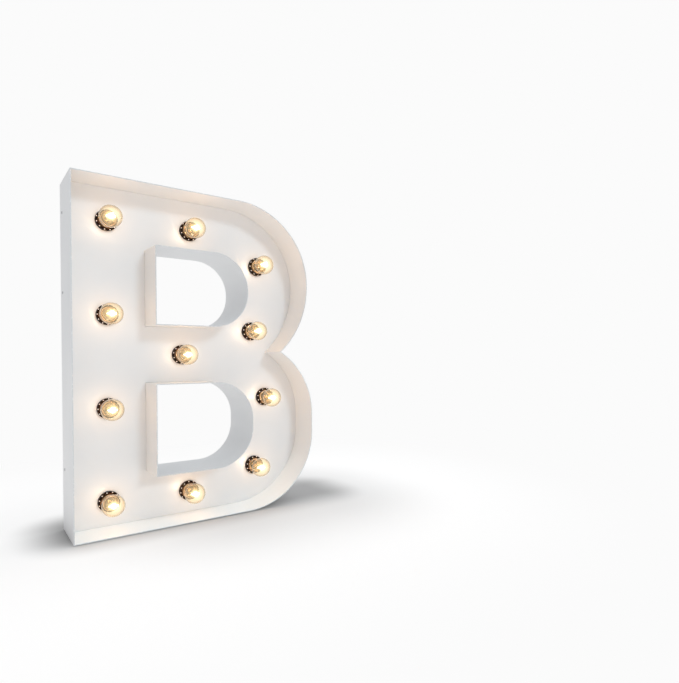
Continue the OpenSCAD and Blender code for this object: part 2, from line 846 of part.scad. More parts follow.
module earth_stud() {
    place = [inlet_x - pin_off, stud_z];
    color("goldenrod") placed() {
        pin(place, stud_d, lug_depth - 2 * stud_nut_t, cover_front);
        pin(place, stud_nut_d, lug_depth + lug_t, cover_front, $fn = 6);
        pin(place, stud_nut_d, lug_depth - stud_nut_t, lug_depth, $fn = 6);
    }
}

module inlet_body() {
    body_l = socket_l + 2 * inlet_wall;
    body_w = socket_w + 2 * inlet_wall;
    face = cover_out + inlet_flange_t;
    color("#262626") placed() translate([inlet_x, 0, inlet_z]) difference() {
        union() {
            slab(cover_out, face) square([inlet_flange_w, inlet_flange_l], center = true);
            slab(inlet_body_end, cover_out) square([body_w, body_l], center = true);
        }
        slab(face - socket_depth, face + past) square([socket_w, socket_l], center = true);
        for (p = PINS) slab(inlet_body_end - past, face)
            translate(p) square([pin_w + 2 * seat_gap, pin_t + 2 * seat_gap], center = true);
        for (side = [-1, 1])
            pin([0, side * inlet_screw_pitch / 2], inlet_screw_d + 2 * seat_gap,
                cover_out - past, face + past);
    }
}

module inlet_pins() {
    tip = cover_out + inlet_flange_t - pin_short;
    color("silver") placed() translate([inlet_x, 0, inlet_z]) for (p = PINS)
        slab(tab_end, tip) translate(p) square([pin_w, pin_t], center = true);
}

module inlet_screws() {
    face = cover_out + inlet_flange_t;
    color("gray") placed() for (side = [-1, 1]) {
        place = [inlet_x, inlet_z + side * inlet_screw_pitch / 2];
        pin(place, inlet_screw_head_d, face, face + inlet_screw_head_h);
        pin(place, inlet_screw_d, cover_front - 2 * inlet_nut_t, face);
        pin(place, inlet_nut_d, cover_front - inlet_nut_t, cover_front, $fn = 6);
    }
}

module switch_housing() {
    color("#1c1c1c") placed() translate([switch_x, 0, switch_z]) difference() {
        union() {
            slab(cover_out, cover_out + bezel_t) square([bezel_w, bezel_l], center = true);
            slab(switch_end, cover_out) square([switch_w, switch_l], center = true);
        }
        slab(well_end, cover_out + bezel_t + past) square([well_w, well_l], center = true);
        translate([-switch_w, pivot_at, 0]) rotate([0, 90, 0])
            cylinder(h = 2 * switch_w, d = pivot_d + 2 * pivot_gap);
        for (side = [-1, 1]) slab(switch_end - past, well_end + past) translate([0, side * switch_tab_z])
            square([tab_w + 2 * seat_gap, tab_t + 2 * seat_gap], center = true);
    }
}

module switch_terminals() {
    color("silver") placed() translate([switch_x, 0, switch_z]) for (side = [-1, 1])
        slab(tab_end, switch_end + tab_sink) translate([0, side * switch_tab_z])
            square([tab_w, tab_t], center = true);
}

// Rocker with a shallow vee in front and round ends, tipped to on
module switch_rocker() {
    rise = rocker_r * tan(rocker_tilt);
    low = rocker_back + pivot_d / 2;
    front = bezel_t + pivot_d + rocker_proud;
    color("#2a0d0d") placed() translate([switch_x, pivot_at, switch_z]) rotate([rocker_tilt, 0, 0]) {
        rotate([0, 90, 0]) translate([0, 0, -rocker_w / 2]) linear_extrude(rocker_w) intersection() {
            circle(rocker_r);
            polygon([
                [-rocker_r, -low],
                [rocker_r, -low],
                [rocker_r, front + rise],
                [0, front],
                [-rocker_r, front + rise]
            ]);
        }
        rotate([0, 90, 0]) cylinder(h = rocker_w + 2 * stub_l, d = pivot_d, center = true);
    }
}

module feet() {
    color("dimgray") placed() for (f = FEET)
        translate([f[0], f[1], -foot_h]) cylinder(h = foot_h, d1 = foot_d - foot_h, d2 = foot_d);
}

// Cap: threaded shell with a flared skirt, an insulator and an end contact
module lamp_cap() {
    root_r = cap_r - thread_depth;
    well_r = root_r - cap_t;
    skirt_wall_r = max(skirt_bore_r + turn_gap, well_r);
    rotate_extrude() polygon(concat(
        [[well_r, thread_end]],
        thread_points(root_r, cap_r, thread_end, thread_turns),
        [
            [cap_r, thread_top + past / 2],
            [cap_r, shade_ring_h],
            [skirt_d / 2, skirt_end],
            [skirt_d / 2 - cap_t, skirt_end],
            [skirt_wall_r, shade_ring_h],
            [skirt_wall_r, thread_top + past / 2],
            [well_r, thread_top]
        ]
    ));
    translate([0, 0, thread_end - insulator_h])
        cylinder(h = insulator_h, r1 = tip_d / 2, r2 = root_r);
    translate([0, 0, tip_end]) cylinder(h = tip_h, d1 = tip_d - tip_h, d2 = tip_d);
}

// Half section of the globe and its neck, drawn in from the outside by a distance
module globe_section(in) {
    r = globe_d / 2 - in;
    neck = neck_r - in;
    hollow = neck_round + in;
    round_z = globe_out - sqrt((globe_d / 2 + neck_round) ^ 2 - (neck_r + neck_round) ^ 2);
    meet = r / (globe_d / 2 + neck_round);
    meet_at = [meet * (neck_r + neck_round), globe_out - meet * (globe_out - round_z)];
    intersection() {
        translate([0, globe_out]) circle(r);
        translate([0, globe_out - r]) square([r, 2 * r]);
    }
    translate([0, neck_end]) square([neck, globe_out - neck_end]);
    difference() {
        polygon([[0, round_z], [neck_r + neck_round, round_z], meet_at, [0, meet_at[1]]]);
        translate([neck_r + neck_round, round_z]) circle(hollow);
    }
}

module lamp_globe() {
    rotate_extrude() difference() {
        globe_section(0);
        globe_section(glass_t);
    }
}

// Glass stem with a flared foot in the neck, two wire supports and the coil between them
module lamp_filament() {
    foot_r = neck_r - glass_t - seat_gap;
    foot_t = 1;
    flare_h = 4;
    pinch_h = 2;
    pinch_r = 1;
    stem_r = stem_d / 2;
    stem_end = globe_out - stem_drop;
    lead_foot = stem_r / 2;
    rotate_extrude() polygon([
        [0, neck_end],
        [foot_r, neck_end],
        [foot_r, neck_end + foot_t],
        [stem_r, neck_end + foot_t + flare_h],
        [stem_r, stem_end - pinch_h],
        [pinch_r, stem_end],
        [0, stem_end]
    ]);
    for (side = [-1, 1])
        rod([side * lead_foot, 0, stem_end - 2 * pinch_h], [side * coil_arc_r, 0, globe_out], lead_d);
    translate([0, 0, globe_out]) rotate([90, 0, 0])
        rotate_extrude(angle = 180) translate([coil_arc_r, 0]) circle(d = coil_d);
}

left_side();
upper_bowl_side();
lower_bowl_side();
upper_counter_wall();
lower_counter_wall();
face_panel();
rear_cover();
wall_brackets();
side_screws();
cover_pillars();
cover_screws();
lamp_holders();
shade_rings();
screw_shells();
centre_contacts();
terminal_screws();
live_wire();
neutral_wire();
earth_wire();
earth_stud();
inlet_body();
inlet_pins();
inlet_screws();
switch_housing();
switch_terminals();
switch_rocker();
feet();
for (n = LAMP_NUMBERS) {
    color("silver") placed() on_panel(LAMPS[n - 1]) lamp_cap();
    color("lightyellow", 0.5) placed() on_panel(LAMPS[n - 1]) lamp_globe();
    color("orange") placed() on_panel(LAMPS[n - 1]) lamp_filament();
}
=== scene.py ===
# %% [markdown]
# # A light-up letter, dressed for its photograph
#
# The object is a marquee letter: an open tray of white sheet metal in the shape of a capital B, with eleven
# clear globe lamps in dark moulded holders. Its construction comes as a CAD frame, at its real size in metres
# and with its front towards -Y. This lesson adds what the frame leaves plain: finishes, softened edges, the
# fine shapes of lamps and screws, light, and a camera. No piece of the frame is moved or resized.

# %% Load the frame
import json
import math

import bmesh
import bpy
from mathutils import Matrix, Vector

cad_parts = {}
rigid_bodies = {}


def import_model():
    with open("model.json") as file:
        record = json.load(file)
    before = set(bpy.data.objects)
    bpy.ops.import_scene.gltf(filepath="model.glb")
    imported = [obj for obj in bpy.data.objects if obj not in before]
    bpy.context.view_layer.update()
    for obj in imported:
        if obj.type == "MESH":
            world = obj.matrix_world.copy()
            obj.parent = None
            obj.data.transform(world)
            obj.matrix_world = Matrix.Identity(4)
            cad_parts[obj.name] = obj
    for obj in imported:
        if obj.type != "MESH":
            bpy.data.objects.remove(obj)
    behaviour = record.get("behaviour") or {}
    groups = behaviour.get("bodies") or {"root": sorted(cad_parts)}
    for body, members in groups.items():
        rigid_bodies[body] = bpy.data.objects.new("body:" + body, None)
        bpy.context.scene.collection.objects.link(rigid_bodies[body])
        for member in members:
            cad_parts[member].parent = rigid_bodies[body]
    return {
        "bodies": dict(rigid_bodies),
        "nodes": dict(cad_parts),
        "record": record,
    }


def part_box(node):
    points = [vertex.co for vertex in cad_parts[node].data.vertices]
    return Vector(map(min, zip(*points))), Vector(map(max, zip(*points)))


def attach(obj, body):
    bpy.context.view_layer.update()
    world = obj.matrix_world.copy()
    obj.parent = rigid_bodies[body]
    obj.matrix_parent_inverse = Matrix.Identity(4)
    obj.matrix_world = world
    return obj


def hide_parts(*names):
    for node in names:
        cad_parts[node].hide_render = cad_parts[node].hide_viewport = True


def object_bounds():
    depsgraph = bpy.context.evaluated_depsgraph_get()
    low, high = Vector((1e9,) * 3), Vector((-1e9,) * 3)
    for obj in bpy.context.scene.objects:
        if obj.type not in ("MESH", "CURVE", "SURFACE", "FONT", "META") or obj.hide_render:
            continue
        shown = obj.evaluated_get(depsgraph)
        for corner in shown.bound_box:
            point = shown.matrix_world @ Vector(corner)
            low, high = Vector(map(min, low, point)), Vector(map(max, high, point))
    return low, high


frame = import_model()
cad_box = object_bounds()
scene = bpy.context.scene

# %% [markdown]
# ## Measures
#
# Every place in this lesson is read from the frame, so nothing has to be fitted by eye. Small shapes are
# easier to think of in millimetres, as a maker does, and one value turns them into Blender's metres. Along a
# lamp, distances count forwards from the face panel, which the lamps stand on.

# %% Measure the lamps
MM = 0.001
LAMPS = sorted(int(name.split("_")[1]) for name in frame["nodes"] if name.endswith("_globe"))
panel_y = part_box("face_panel")[0].y


def reach(node):
    """Where a piece starts and ends in front of the face panel, in millimetres."""
    low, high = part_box(node)
    return (panel_y - high.y) / MM, (panel_y - low.y) / MM


def half_width(node):
    """Half of a piece's width along X, which is the radius of a turned piece, in millimetres."""
    low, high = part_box(node)
    return (high.x - low.x) / 2 / MM


def lamp_place(number):
    """Matrix that stands a turned piece on the panel at a lamp, with its own Z towards the front."""
    low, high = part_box(f"lamp_{number}_globe")
    middle = (low + high) / 2
    return Matrix.Translation((middle.x, panel_y, middle.z)) @ Matrix.Rotation(math.pi / 2, 4, "X")


cap_back, cap_front = reach("lamp_1_cap")
globe_back, globe_front = reach("lamp_1_globe")
globe_r = half_width("lamp_1_globe")
globe_middle = globe_front - globe_r
ring_front = reach("shade_rings")[1]
print(f"{len(LAMPS)} lamps, each with a globe {2 * globe_r:.1f} mm across, {globe_middle:.1f} mm out")

# %% [markdown]
# ## Camera
#
# The photograph was taken from the left, close by and with a wide lens, so the stem looks taller than the
# bowls. The lens was nearly level, so upright edges stay upright. A camera could be nudged until the picture
# looks alike. Here its place, its lens and the point where the lens axis meets the picture come from a fit
# to the letter's corners. The lens shift stands for that point, because the photograph is a crop whose
# middle isn't on the axis.

# %% Place the camera
PHOTO_WIDTH = 679
PHOTO_HEIGHT = 683
FOCAL_PIXELS = 516.3
AXIS_PIXEL = Vector((354.2, 366.2))
EYE = Vector((-0.3700, -0.9900, 0.3109))
TURN_RIGHT = math.radians(37.233)
LOOK_DOWN = math.radians(1.164)

long_side = max(PHOTO_WIDTH, PHOTO_HEIGHT)
lens = bpy.data.cameras.new("photo_camera")
lens.lens = FOCAL_PIXELS / long_side * lens.sensor_width
lens.shift_x = (PHOTO_WIDTH / 2 - AXIS_PIXEL.x) / long_side
lens.shift_y = (AXIS_PIXEL.y - PHOTO_HEIGHT / 2) / long_side
camera = bpy.data.objects.new("photo_camera", lens)
camera.location = EYE
camera.rotation_euler = (math.pi / 2 - LOOK_DOWN, 0, -TURN_RIGHT)
scene.collection.objects.link(camera)
scene.camera = camera
print(f"Camera with a {lens.lens:.1f} mm lens, {EYE.length:.2f} m from the letter's foot")

# %% [markdown]
# ## Shader tools
#
# A finish is a tree of nodes. Laid out one node at a time, a simple sum takes ten lines, so a small class
# wraps one socket and lets Python's own operators add the Math nodes. Every other node comes from one method:
# it takes the node's type, its settings, and what its sockets get. A finish also knows its Principled shader
# and the place on the piece, in metres, so that a grain has the same size on every piece.


# %% Wrap sockets and trees
class Signal:
    """The value on one socket; Python's operators on it add Math nodes to its tree."""

    def __init__(self, tree, socket):
        self.tree = tree
        self.socket = socket

    def maths(self, operation, *values):
        return self.tree.node("ShaderNodeMath", {"operation": operation}, dict(enumerate(values)))

    def __add__(self, other):
        return self.maths("ADD", self, other)

    def __radd__(self, other):
        return self.maths("ADD", other, self)

    def __sub__(self, other):
        return self.maths("SUBTRACT", self, other)

    def __rsub__(self, other):
        return self.maths("SUBTRACT", other, self)

    def __mul__(self, other):
        return self.maths("MULTIPLY", self, other)

    def __rmul__(self, other):
        return self.maths("MULTIPLY", other, self)

    def size(self):
        return self.maths("ABSOLUTE", self)

    def at_least(self, low):
        return self.maths("MAXIMUM", self, low)

    def root(self):
        return self.maths("SQRT", self)

    def rising(self, low, high):
        """0 below low, 1 above high, and smooth between them."""
        edges = {"Value": self, "From Min": low, "From Max": high}
        return self.tree.node("ShaderNodeMapRange", {"interpolation_type": "SMOOTHSTEP"}, edges)


class Tree:
    """A node tree that is being filled."""

    def __init__(self, tree):
        self.tree = tree

    def feed(self, socket, value):
        if isinstance(value, Signal):
            self.tree.links.new(value.socket, socket)
        elif socket.type == "RGBA":
            socket.default_value = (*value, 1)
        else:
            socket.default_value = value

    def node(self, kind, settings=None, sockets=None, out=0):
        made = self.tree.nodes.new(kind)
        for name, value in (settings or {}).items():
            setattr(made, name, value)
        for name, value in (sockets or {}).items():
            self.feed(made.inputs[name], value)
        return Signal(self, made.outputs[out]) if made.outputs else made

    def blend(self, mask, first, second):
        return self.node("ShaderNodeMix", {"data_type": "RGBA"}, {0: mask, 6: first, 7: second}, 2)


class Finish(Tree):
    """A material's tree, with its Principled shader and the place on the piece in metres."""

    def __init__(self, name, sockets):
        self.material = bpy.data.materials.new(name)
        self.material.use_nodes = True
        super().__init__(self.material.node_tree)
        self.shader = self.tree.nodes["Principled BSDF"]
        self.place = self.node("ShaderNodeTexCoord", out="Object")
        self.set(sockets)

    def set(self, sockets):
        for name, value in sockets.items():
            self.feed(self.shader.inputs[name], value)

    def noise(self, cells, detail=2.0):
        """Cloudy value from 0 to 1, with so many cells to the metre."""
        return self.node("ShaderNodeTexNoise", {}, {"Vector": self.place, "Scale": cells, "Detail": detail})

    def bump(self, height, depth):
        self.set({"Normal": self.node("ShaderNodeBump", {}, {"Height": height, "Distance": depth})})


print("Shader tools are ready")

# %% [markdown]
# ## Floor
#
# The letter was photographed on white, with a soft shadow close round its foot. A curved backdrop would
# throw its own light back at the letter and wash out the grey of its sides. So the floor is one large plane
# that sends little light back and gives off some of its own. That light is turned down towards the foot,
# which paints a shadow there on top of the real one, and a little round the bowls, which paints a wide faint
# shade. Further off the plane turns into the backdrop's white, so that no horizon shows. All this is a
# formula of the place on the floor, so the painted shade stays put when the letter is seen from another side.

# %% Lay the floor
FLOOR_HALF = 40

floor_mesh = bpy.data.meshes.new("floor")
corners = [(x * FLOOR_HALF, y * FLOOR_HALF, 0) for x, y in ((-1, -1), (1, -1), (1, 1), (-1, 1))]
floor_mesh.from_pydata(corners, [], [(0, 1, 2, 3)])
floor = bpy.data.objects.new("floor", floor_mesh)
scene.collection.objects.link(floor)
print("Floor of", 2 * FLOOR_HALF, "m")

# %% Shade the floor
FLOOR_WHITE = (0.33, 0.33, 0.33)
FLOOR_LIFT = (0.60, 0.60, 0.60)
BACKDROP = (0.965, 0.965, 0.965)
BLACK = (0, 0, 0)
SHADE_MIDDLE = (0.034, 0.028)
SHADE_HALF = (0.242, 0.033)
SHADE_REACH = 0.115
WIDE_MIDDLE = (0.15, 0)
WIDE_HALF = (0.08, 0.0525)
WIDE_REACH = 0.334
WIDE_PART = 0.43
FADE_FROM = 0.12
FADE_TO = 0.7

paper = Finish("floor_paper", {"Roughness": 0.9, "Specular IOR Level": 0.0, "Emission Strength": 1.0})
floor_x, floor_y = [paper.node("ShaderNodeSeparateXYZ", {}, {0: paper.place}, axis) for axis in "XY"]


def way_off(middle, half):
    """How far a place on the floor lies outside a rectangle, in metres."""
    gap_x = ((floor_x - middle[0]).size() - half[0]).at_least(0)
    gap_y = ((floor_y - middle[1]).size() - half[1]).at_least(0)
    return (gap_x * gap_x + gap_y * gap_y).root()


# Painted shadow: the floor's own light is turned down near the foot and, more faintly, round the bowls.
from_foot = way_off(SHADE_MIDDLE, SHADE_HALF)
wide = way_off(WIDE_MIDDLE, WIDE_HALF).rising(0, WIDE_REACH)
painted_shadow_lift = from_foot.rising(0, SHADE_REACH) * (1 - WIDE_PART + WIDE_PART * wide)
faded = from_foot.rising(FADE_FROM, FADE_TO)
glow_with_painted_shadow = paper.blend(painted_shadow_lift, BLACK, FLOOR_LIFT)
paper.set({
    "Base Color": paper.blend(faded, FLOOR_WHITE, BLACK),
    "Emission Color": paper.blend(faded, glow_with_painted_shadow, BACKDROP),
})
floor_mesh.materials.append(paper.material)
print(f"Shade round the foot reaches {SHADE_REACH} m, the wide one {WIDE_REACH} m")

# %% [markdown]
# ## Studio light
#
# A studio could be built from lamps and white cards. A sky of three tones does the work of the cards: bright
# overhead, dim in front and brighter behind, which gives each wall its own grey. The camera sees that sky as
# plain white. Two broad lights are added, far away, so that they fall evenly on the whole letter. The key
# light comes from the front and is kept off the floor, which it would burn out. The side light is for the
# floor alone, where it casts the letter's shadow. Blender calls this light linking: a light gets a group of
# pieces that it finds, or that it leaves alone.

# %% Tone the sky
SKY_FRONT = (0.35, 0.36, 0.375)
SKY_BACK = (0.60, 0.62, 0.65)
SKY_HIGH = (0.86, 0.86, 0.86)
SKY_SEAM = 0.4

scene.view_settings.view_transform = "Standard"
scene.world = bpy.data.worlds.new("studio")
scene.world.use_nodes = True
scene.world.node_tree.nodes.clear()
sky = Tree(scene.world.node_tree)
direction = sky.node("ShaderNodeTexCoord", out="Generated")
backward, upward = [sky.node("ShaderNodeSeparateXYZ", {}, {0: direction}, axis) for axis in "YZ"]
low_sky = sky.blend(backward.rising(-SKY_SEAM, SKY_SEAM), SKY_FRONT, SKY_BACK)
sky_colour = sky.blend(upward.rising(0, 1), low_sky, SKY_HIGH)
sky_light = sky.node("ShaderNodeBackground", {}, {"Color": sky_colour})
backdrop = sky.node("ShaderNodeBackground", {}, {"Color": BACKDROP})
seen = sky.node("ShaderNodeLightPath", out="Is Camera Ray")
shown = sky.node("ShaderNodeMixShader", {}, {0: seen, 1: sky_light, 2: backdrop})
sky.node("ShaderNodeOutputWorld", {}, {"Surface": shown})
print("Sky of three tones, seen as plain white")

# %% Place the far lights
KEY_FROM = Vector((0.18, -0.90, 0.38))
KEY_COLOUR = (0.70, 0.88, 1.0)
KEY_STRENGTH = 0.64
KEY_SPREAD = math.radians(11)
SIDE_FROM = Vector((0.62, -0.15, 0.77))
SIDE_COLOUR = (1, 1, 1)
SIDE_STRENGTH = 2.1
SIDE_SPREAD = math.radians(75)


def far_light(name, towards, colour, strength, spread):
    """Broad light from far away; towards points from the letter to the light."""
    light = bpy.data.lights.new(name, "SUN")
    light.color = colour
    light.energy = strength
    light.angle = spread
    stand = bpy.data.objects.new(name, light)
    stand.rotation_euler = towards.to_track_quat("Z", "Y").to_euler()
    scene.collection.objects.link(stand)
    print(f"{name}: {math.degrees(math.asin(towards.normalized().z)):.0f} degrees up")
    return stand


def linked(name, pieces, state):
    """Group of pieces that a light is kept to (INCLUDE) or kept off (EXCLUDE)."""
    group = bpy.data.collections.new(name)
    for piece in pieces:
        group.objects.link(piece)
    for member in group.collection_objects:
        member.light_linking.link_state = state
    return group


key_light = far_light("key_light", KEY_FROM, KEY_COLOUR, KEY_STRENGTH, KEY_SPREAD)
side_light = far_light("side_light", SIDE_FROM, SIDE_COLOUR, SIDE_STRENGTH, SIDE_SPREAD)
key_light.light_linking.receiver_collection = linked("key_light_leaves", [floor], "EXCLUDE")
side_light.light_linking.receiver_collection = linked("side_light_finds", [floor], "INCLUDE")

# %% [markdown]
# ## White paint
#
# The sheet metal has a satin white powder coat. Such a coat is never quite flat: it has a fine orange peel,
# it clouds a little from place to place, and it is thin on the cut edges, where grey metal shows through as
# a fine line. The peel is a bump, the clouds go into colour and roughness, and the thin edge is a mask of
# the depth from the front and rear edges, broken up by noise.

# %% Make the white paint
PAINT_BRIGHT = (0.81, 0.81, 0.81)
PAINT_DULL = (0.785, 0.79, 0.795)
EDGE_GREY = (0.58, 0.59, 0.60)
CLOUD_CELLS = 7
CLOUD_SPAN = (0.35, 0.65)
PAINT_SMOOTHEST = 0.36
CLOUD_ROUGH = 0.16
PEEL_CELLS = 650
PEEL_DEPTH = 0.06 * MM
EDGE_REACH = 0.9 * MM
EDGE_PART = 0.6
CHIP_CELLS = 260
CHIP_SPAN = (0.25, 0.5)


def white_paint():
    paint = Finish("white_paint", {})
    cloud = paint.noise(CLOUD_CELLS, detail=3)
    chips = paint.noise(CHIP_CELLS, detail=4)
    depth = paint.node("ShaderNodeSeparateXYZ", {}, {0: paint.place}, "Y")
    from_front = (depth - cad_box[0].y).rising(0, EDGE_REACH)
    from_rear = (cad_box[1].y - depth).rising(0, EDGE_REACH)
    thin = (1 - from_front * from_rear) * chips.rising(*CHIP_SPAN)
    coat = paint.blend(cloud.rising(*CLOUD_SPAN), PAINT_BRIGHT, PAINT_DULL)
    paint.set({
        "Base Color": paint.blend(thin * EDGE_PART, coat, EDGE_GREY),
        "Roughness": PAINT_SMOOTHEST + CLOUD_ROUGH * cloud,
    })
    paint.bump(paint.noise(PEEL_CELLS, detail=1), PEEL_DEPTH)
    return paint.material


print("Recipe for white paint is ready")

# %% [markdown]
# ## Mouldings, metals and plastics
#
# Holders and shade rings are moulded from brown resins with faint swirls of the filler: a glossy one for the
# holders, and a darker, duller one for the rings. Metals differ in colour, in how rough they are, and in
# tarnish. Plastics have a fine grain from their moulds, and rubber a coarse dull one. Each family is one
# function, and its members differ by a few values, as they do in a workshop's stock list.

# %% Make mouldings, metals and plastics
RESIN_SHEEN = (1.0, 0.72, 0.55)
RESIN_SMOOTHEST = 0.26
SWIRL_CELLS = 140
SWIRL_SPAN = (0.4, 0.72)
HAZE_CELLS = 900
HAZE_ROUGH = 0.18
RIPPLE_CELLS = 420
RIPPLE_DEPTH = 0.05 * MM
TARNISH_CELLS = 90
TARNISH_SPAN = (0.42, 0.78)
TARNISH_ROUGH = 0.12
METAL_GRAIN_ROUGH = 0.14
METAL_GRAIN_DEPTH = 0.02 * MM
PIGMENT_CELLS = 60
PIGMENT_SPAN = (0.3, 0.7)
PLASTIC_GRAIN_ROUGH = 0.15


def moulding(name, dark, light, gloss):
    resin = Finish(name, {"Specular IOR Level": gloss, "Specular Tint": RESIN_SHEEN})
    swirl = resin.noise(SWIRL_CELLS, detail=5).rising(*SWIRL_SPAN)
    resin.set({
        "Base Color": resin.blend(swirl, dark, light),
        "Roughness": RESIN_SMOOTHEST + HAZE_ROUGH * resin.noise(HAZE_CELLS),
    })
    resin.bump(resin.noise(RIPPLE_CELLS), RIPPLE_DEPTH)
    return resin.material


def metal(name, bright, tarnished, smoothest, grain_cells=1200):
    plate = Finish(name, {"Metallic": 1.0})
    grain = plate.noise(grain_cells)
    tarnish = plate.noise(TARNISH_CELLS, detail=4).rising(*TARNISH_SPAN)
    plate.set({
        "Base Color": plate.blend(tarnish, bright, tarnished),
        "Roughness": smoothest + METAL_GRAIN_ROUGH * grain + TARNISH_ROUGH * tarnish,
    })
    plate.bump(grain, METAL_GRAIN_DEPTH)
    return plate.material


def plastic(name, dark, light, smoothest, grain_cells=1500, grain_depth=0.04 * MM):
    shell = Finish(name, {})
    grain = shell.noise(grain_cells)
    pigment = shell.noise(PIGMENT_CELLS, detail=3).rising(*PIGMENT_SPAN)
    shell.set({
        "Base Color": shell.blend(pigment, dark, light),
        "Roughness": smoothest + PLASTIC_GRAIN_ROUGH * grain,
    })
    shell.bump(grain, grain_depth)
    return shell.material


print("Recipes for mouldings, metals and plastics are ready")

# %% [markdown]
# ## Glass and glow
#
# The globes are clear glass, less than a millimetre thick, and are turned further down with both of their
# surfaces. So plain refraction gives the bright rims and the bent view of the stem by itself. Seen at a
# slant, more glass lies in the way, and there it is browner. Faint finger marks change its roughness, and a
# trace of glow stands for the haze on a lit globe. The coil is white-hot wire. It looks bright, but it is
# too thin to light the tray, so a small light inside each globe does that further down.

# %% Make glass and glow
GLASS_TINT = (0.98, 0.93, 0.82)
GLASS_RIM = (0.68, 0.53, 0.36)
GLASS_GLOW = (0.03, 0.022, 0.012)
GLASS_IOR = 1.46
GLASS_SMOOTHEST = 0.01
SLANT_SPAN = (0.3, 0.85)
MARK_CELLS = 70
MARK_SPAN = (0.5, 0.8)
MARK_ROUGH = 0.05
COIL_METAL = (0.2, 0.2, 0.2)
COIL_COLOUR = (1.0, 0.83, 0.58)
COIL_STRENGTH = 220
COOLER_PART = 0.85
HEAT_CELLS = 400
HEAT_SPAN = (0.2, 0.8)


def lamp_glass():
    glass = Finish("lamp_glass", {"Transmission Weight": 1.0, "IOR": GLASS_IOR})
    slant = glass.node("ShaderNodeLayerWeight", {}, {"Blend": 0.5}, "Facing")
    marks = glass.noise(MARK_CELLS, detail=4).rising(*MARK_SPAN)
    glass.set({
        "Base Color": glass.blend(slant.rising(*SLANT_SPAN), GLASS_TINT, GLASS_RIM),
        "Roughness": GLASS_SMOOTHEST + MARK_ROUGH * marks,
        "Emission Color": GLASS_GLOW,
        "Emission Strength": 1.0,
    })
    return glass.material


def hot_coil():
    coil = Finish("filament", {"Base Color": COIL_METAL, "Emission Strength": COIL_STRENGTH})
    heat = coil.noise(HEAT_CELLS).rising(*HEAT_SPAN)
    cooler = tuple(COOLER_PART * c for c in COIL_COLOUR)
    coil.set({"Emission Color": coil.blend(heat, cooler, COIL_COLOUR)})
    return coil.material


print("Recipes for glass and hot wire are ready")

# %% [markdown]
# ## Dress the frame
#
# The record names a finish for every piece of the frame. One table pairs those names with the materials, and
# one loop puts them on.

# %% Put the finishes on
FINISHES = {
    "white_paint": white_paint(),
    "zinc_steel": metal("zinc_steel", (0.62, 0.64, 0.66), (0.45, 0.46, 0.47), 0.30),
    "screw_steel": metal("screw_steel", (0.52, 0.52, 0.53), (0.30, 0.29, 0.28), 0.24),
    "brown_moulding": moulding("brown_moulding", (0.050, 0.022, 0.012), (0.085, 0.038, 0.020), 0.5),
    "dark_moulding": moulding("dark_moulding", (0.007, 0.0022, 0.001), (0.024, 0.007, 0.003), 0.03),
    "brass": metal("brass", (0.80, 0.58, 0.26), (0.45, 0.30, 0.13), 0.22),
    "cap_metal": metal("cap_metal", (0.93, 0.72, 0.55), (0.80, 0.55, 0.40), 0.22),
    "lamp_glass": lamp_glass(),
    "filament": hot_coil(),
    "live_insulation": plastic("live_insulation", (0.13, 0.05, 0.02), (0.17, 0.07, 0.03), 0.4),
    "neutral_insulation": plastic("neutral_insulation", (0.02, 0.10, 0.35), (0.03, 0.13, 0.42), 0.4),
    "earth_insulation": plastic("earth_insulation", (0.16, 0.40, 0.03), (0.60, 0.55, 0.04), 0.4),
    "pin_metal": metal("pin_metal", (0.74, 0.72, 0.68), (0.55, 0.52, 0.47), 0.18),
    "black_plastic": plastic("black_plastic", (0.012, 0.012, 0.013), (0.022, 0.022, 0.023), 0.42),
    "rocker_plastic": plastic("rocker_plastic", (0.010, 0.010, 0.011), (0.018, 0.018, 0.019), 0.24),
    "foot_rubber": plastic("foot_rubber", (0.03, 0.03, 0.03), (0.05, 0.05, 0.05), 0.7, 700, 0.1 * MM),
}
node_slot = {part["node"]: part["material_slot"] for part in frame["record"]["subparts"]}
for name, slot in node_slot.items():
    frame["nodes"][name].data.materials.clear()
    frame["nodes"][name].data.materials.append(FINISHES[slot])
print(len(FINISHES), "finishes on", len(node_slot), "pieces")

# %% [markdown]
# ## Mesh tools
#
# Most small pieces here are skins over rows of points: a turned piece has one round row per step of its
# profile, a wire has one row per step of its path. One function makes the skin, and a row of a single point
# closes an end. A finished mesh is shaded smooth, and stays crisp where its faces meet at a clear angle.

# %% Skin rows of points
CRISP_ANGLE = math.radians(35)
WELD_GAP = 0.001 * MM


def finished(bm, name):
    """Mesh of a worked-out shape, with its faces turned outwards and its sharp edges marked."""
    bmesh.ops.recalc_face_normals(bm, faces=bm.faces)
    mesh = bpy.data.meshes.new(name)
    bm.to_mesh(mesh)
    bm.free()
    mesh.shade_smooth()
    mesh.set_sharp_from_angle(angle=CRISP_ANGLE)
    return mesh


def worked(mesh, kind, settings):
    """Mesh after one of Blender's modifiers."""
    bench = bpy.data.objects.new("bench", mesh)
    scene.collection.objects.link(bench)
    modifier = bench.modifiers.new(kind, kind)
    for name, value in settings.items():
        setattr(modifier, name, value)
    result = bpy.data.meshes.new_from_object(bench.evaluated_get(bpy.context.evaluated_depsgraph_get()))
    bpy.data.objects.remove(bench)
    return result


def skin(name, rows, closed=False):
    """Mesh over rows of points in millimetres, each once round the piece; one point alone is a tip."""
    bm = bmesh.new()
    made = [[bm.verts.new(Vector(point) * MM) for point in row] for row in rows]
    sides = max(len(row) for row in made)
    for low, high in zip(made, made[1:] + (made[:1] if closed else [])):
        for n in range(sides):
            m = (n + 1) % sides
            ring = (low[n % len(low)], low[m % len(low)], high[m % len(high)], high[n % len(high)])
            bm.faces.new(dict.fromkeys(ring))
    return finished(bm, name)


def around(radius, height, sides):
    """One round row; a radius of 0 is a tip."""
    if radius == 0:
        return [(0, 0, height)]
    steps = [2 * math.pi * n / sides for n in range(sides)]
    return [(radius * math.cos(a), radius * math.sin(a), height) for a in steps]


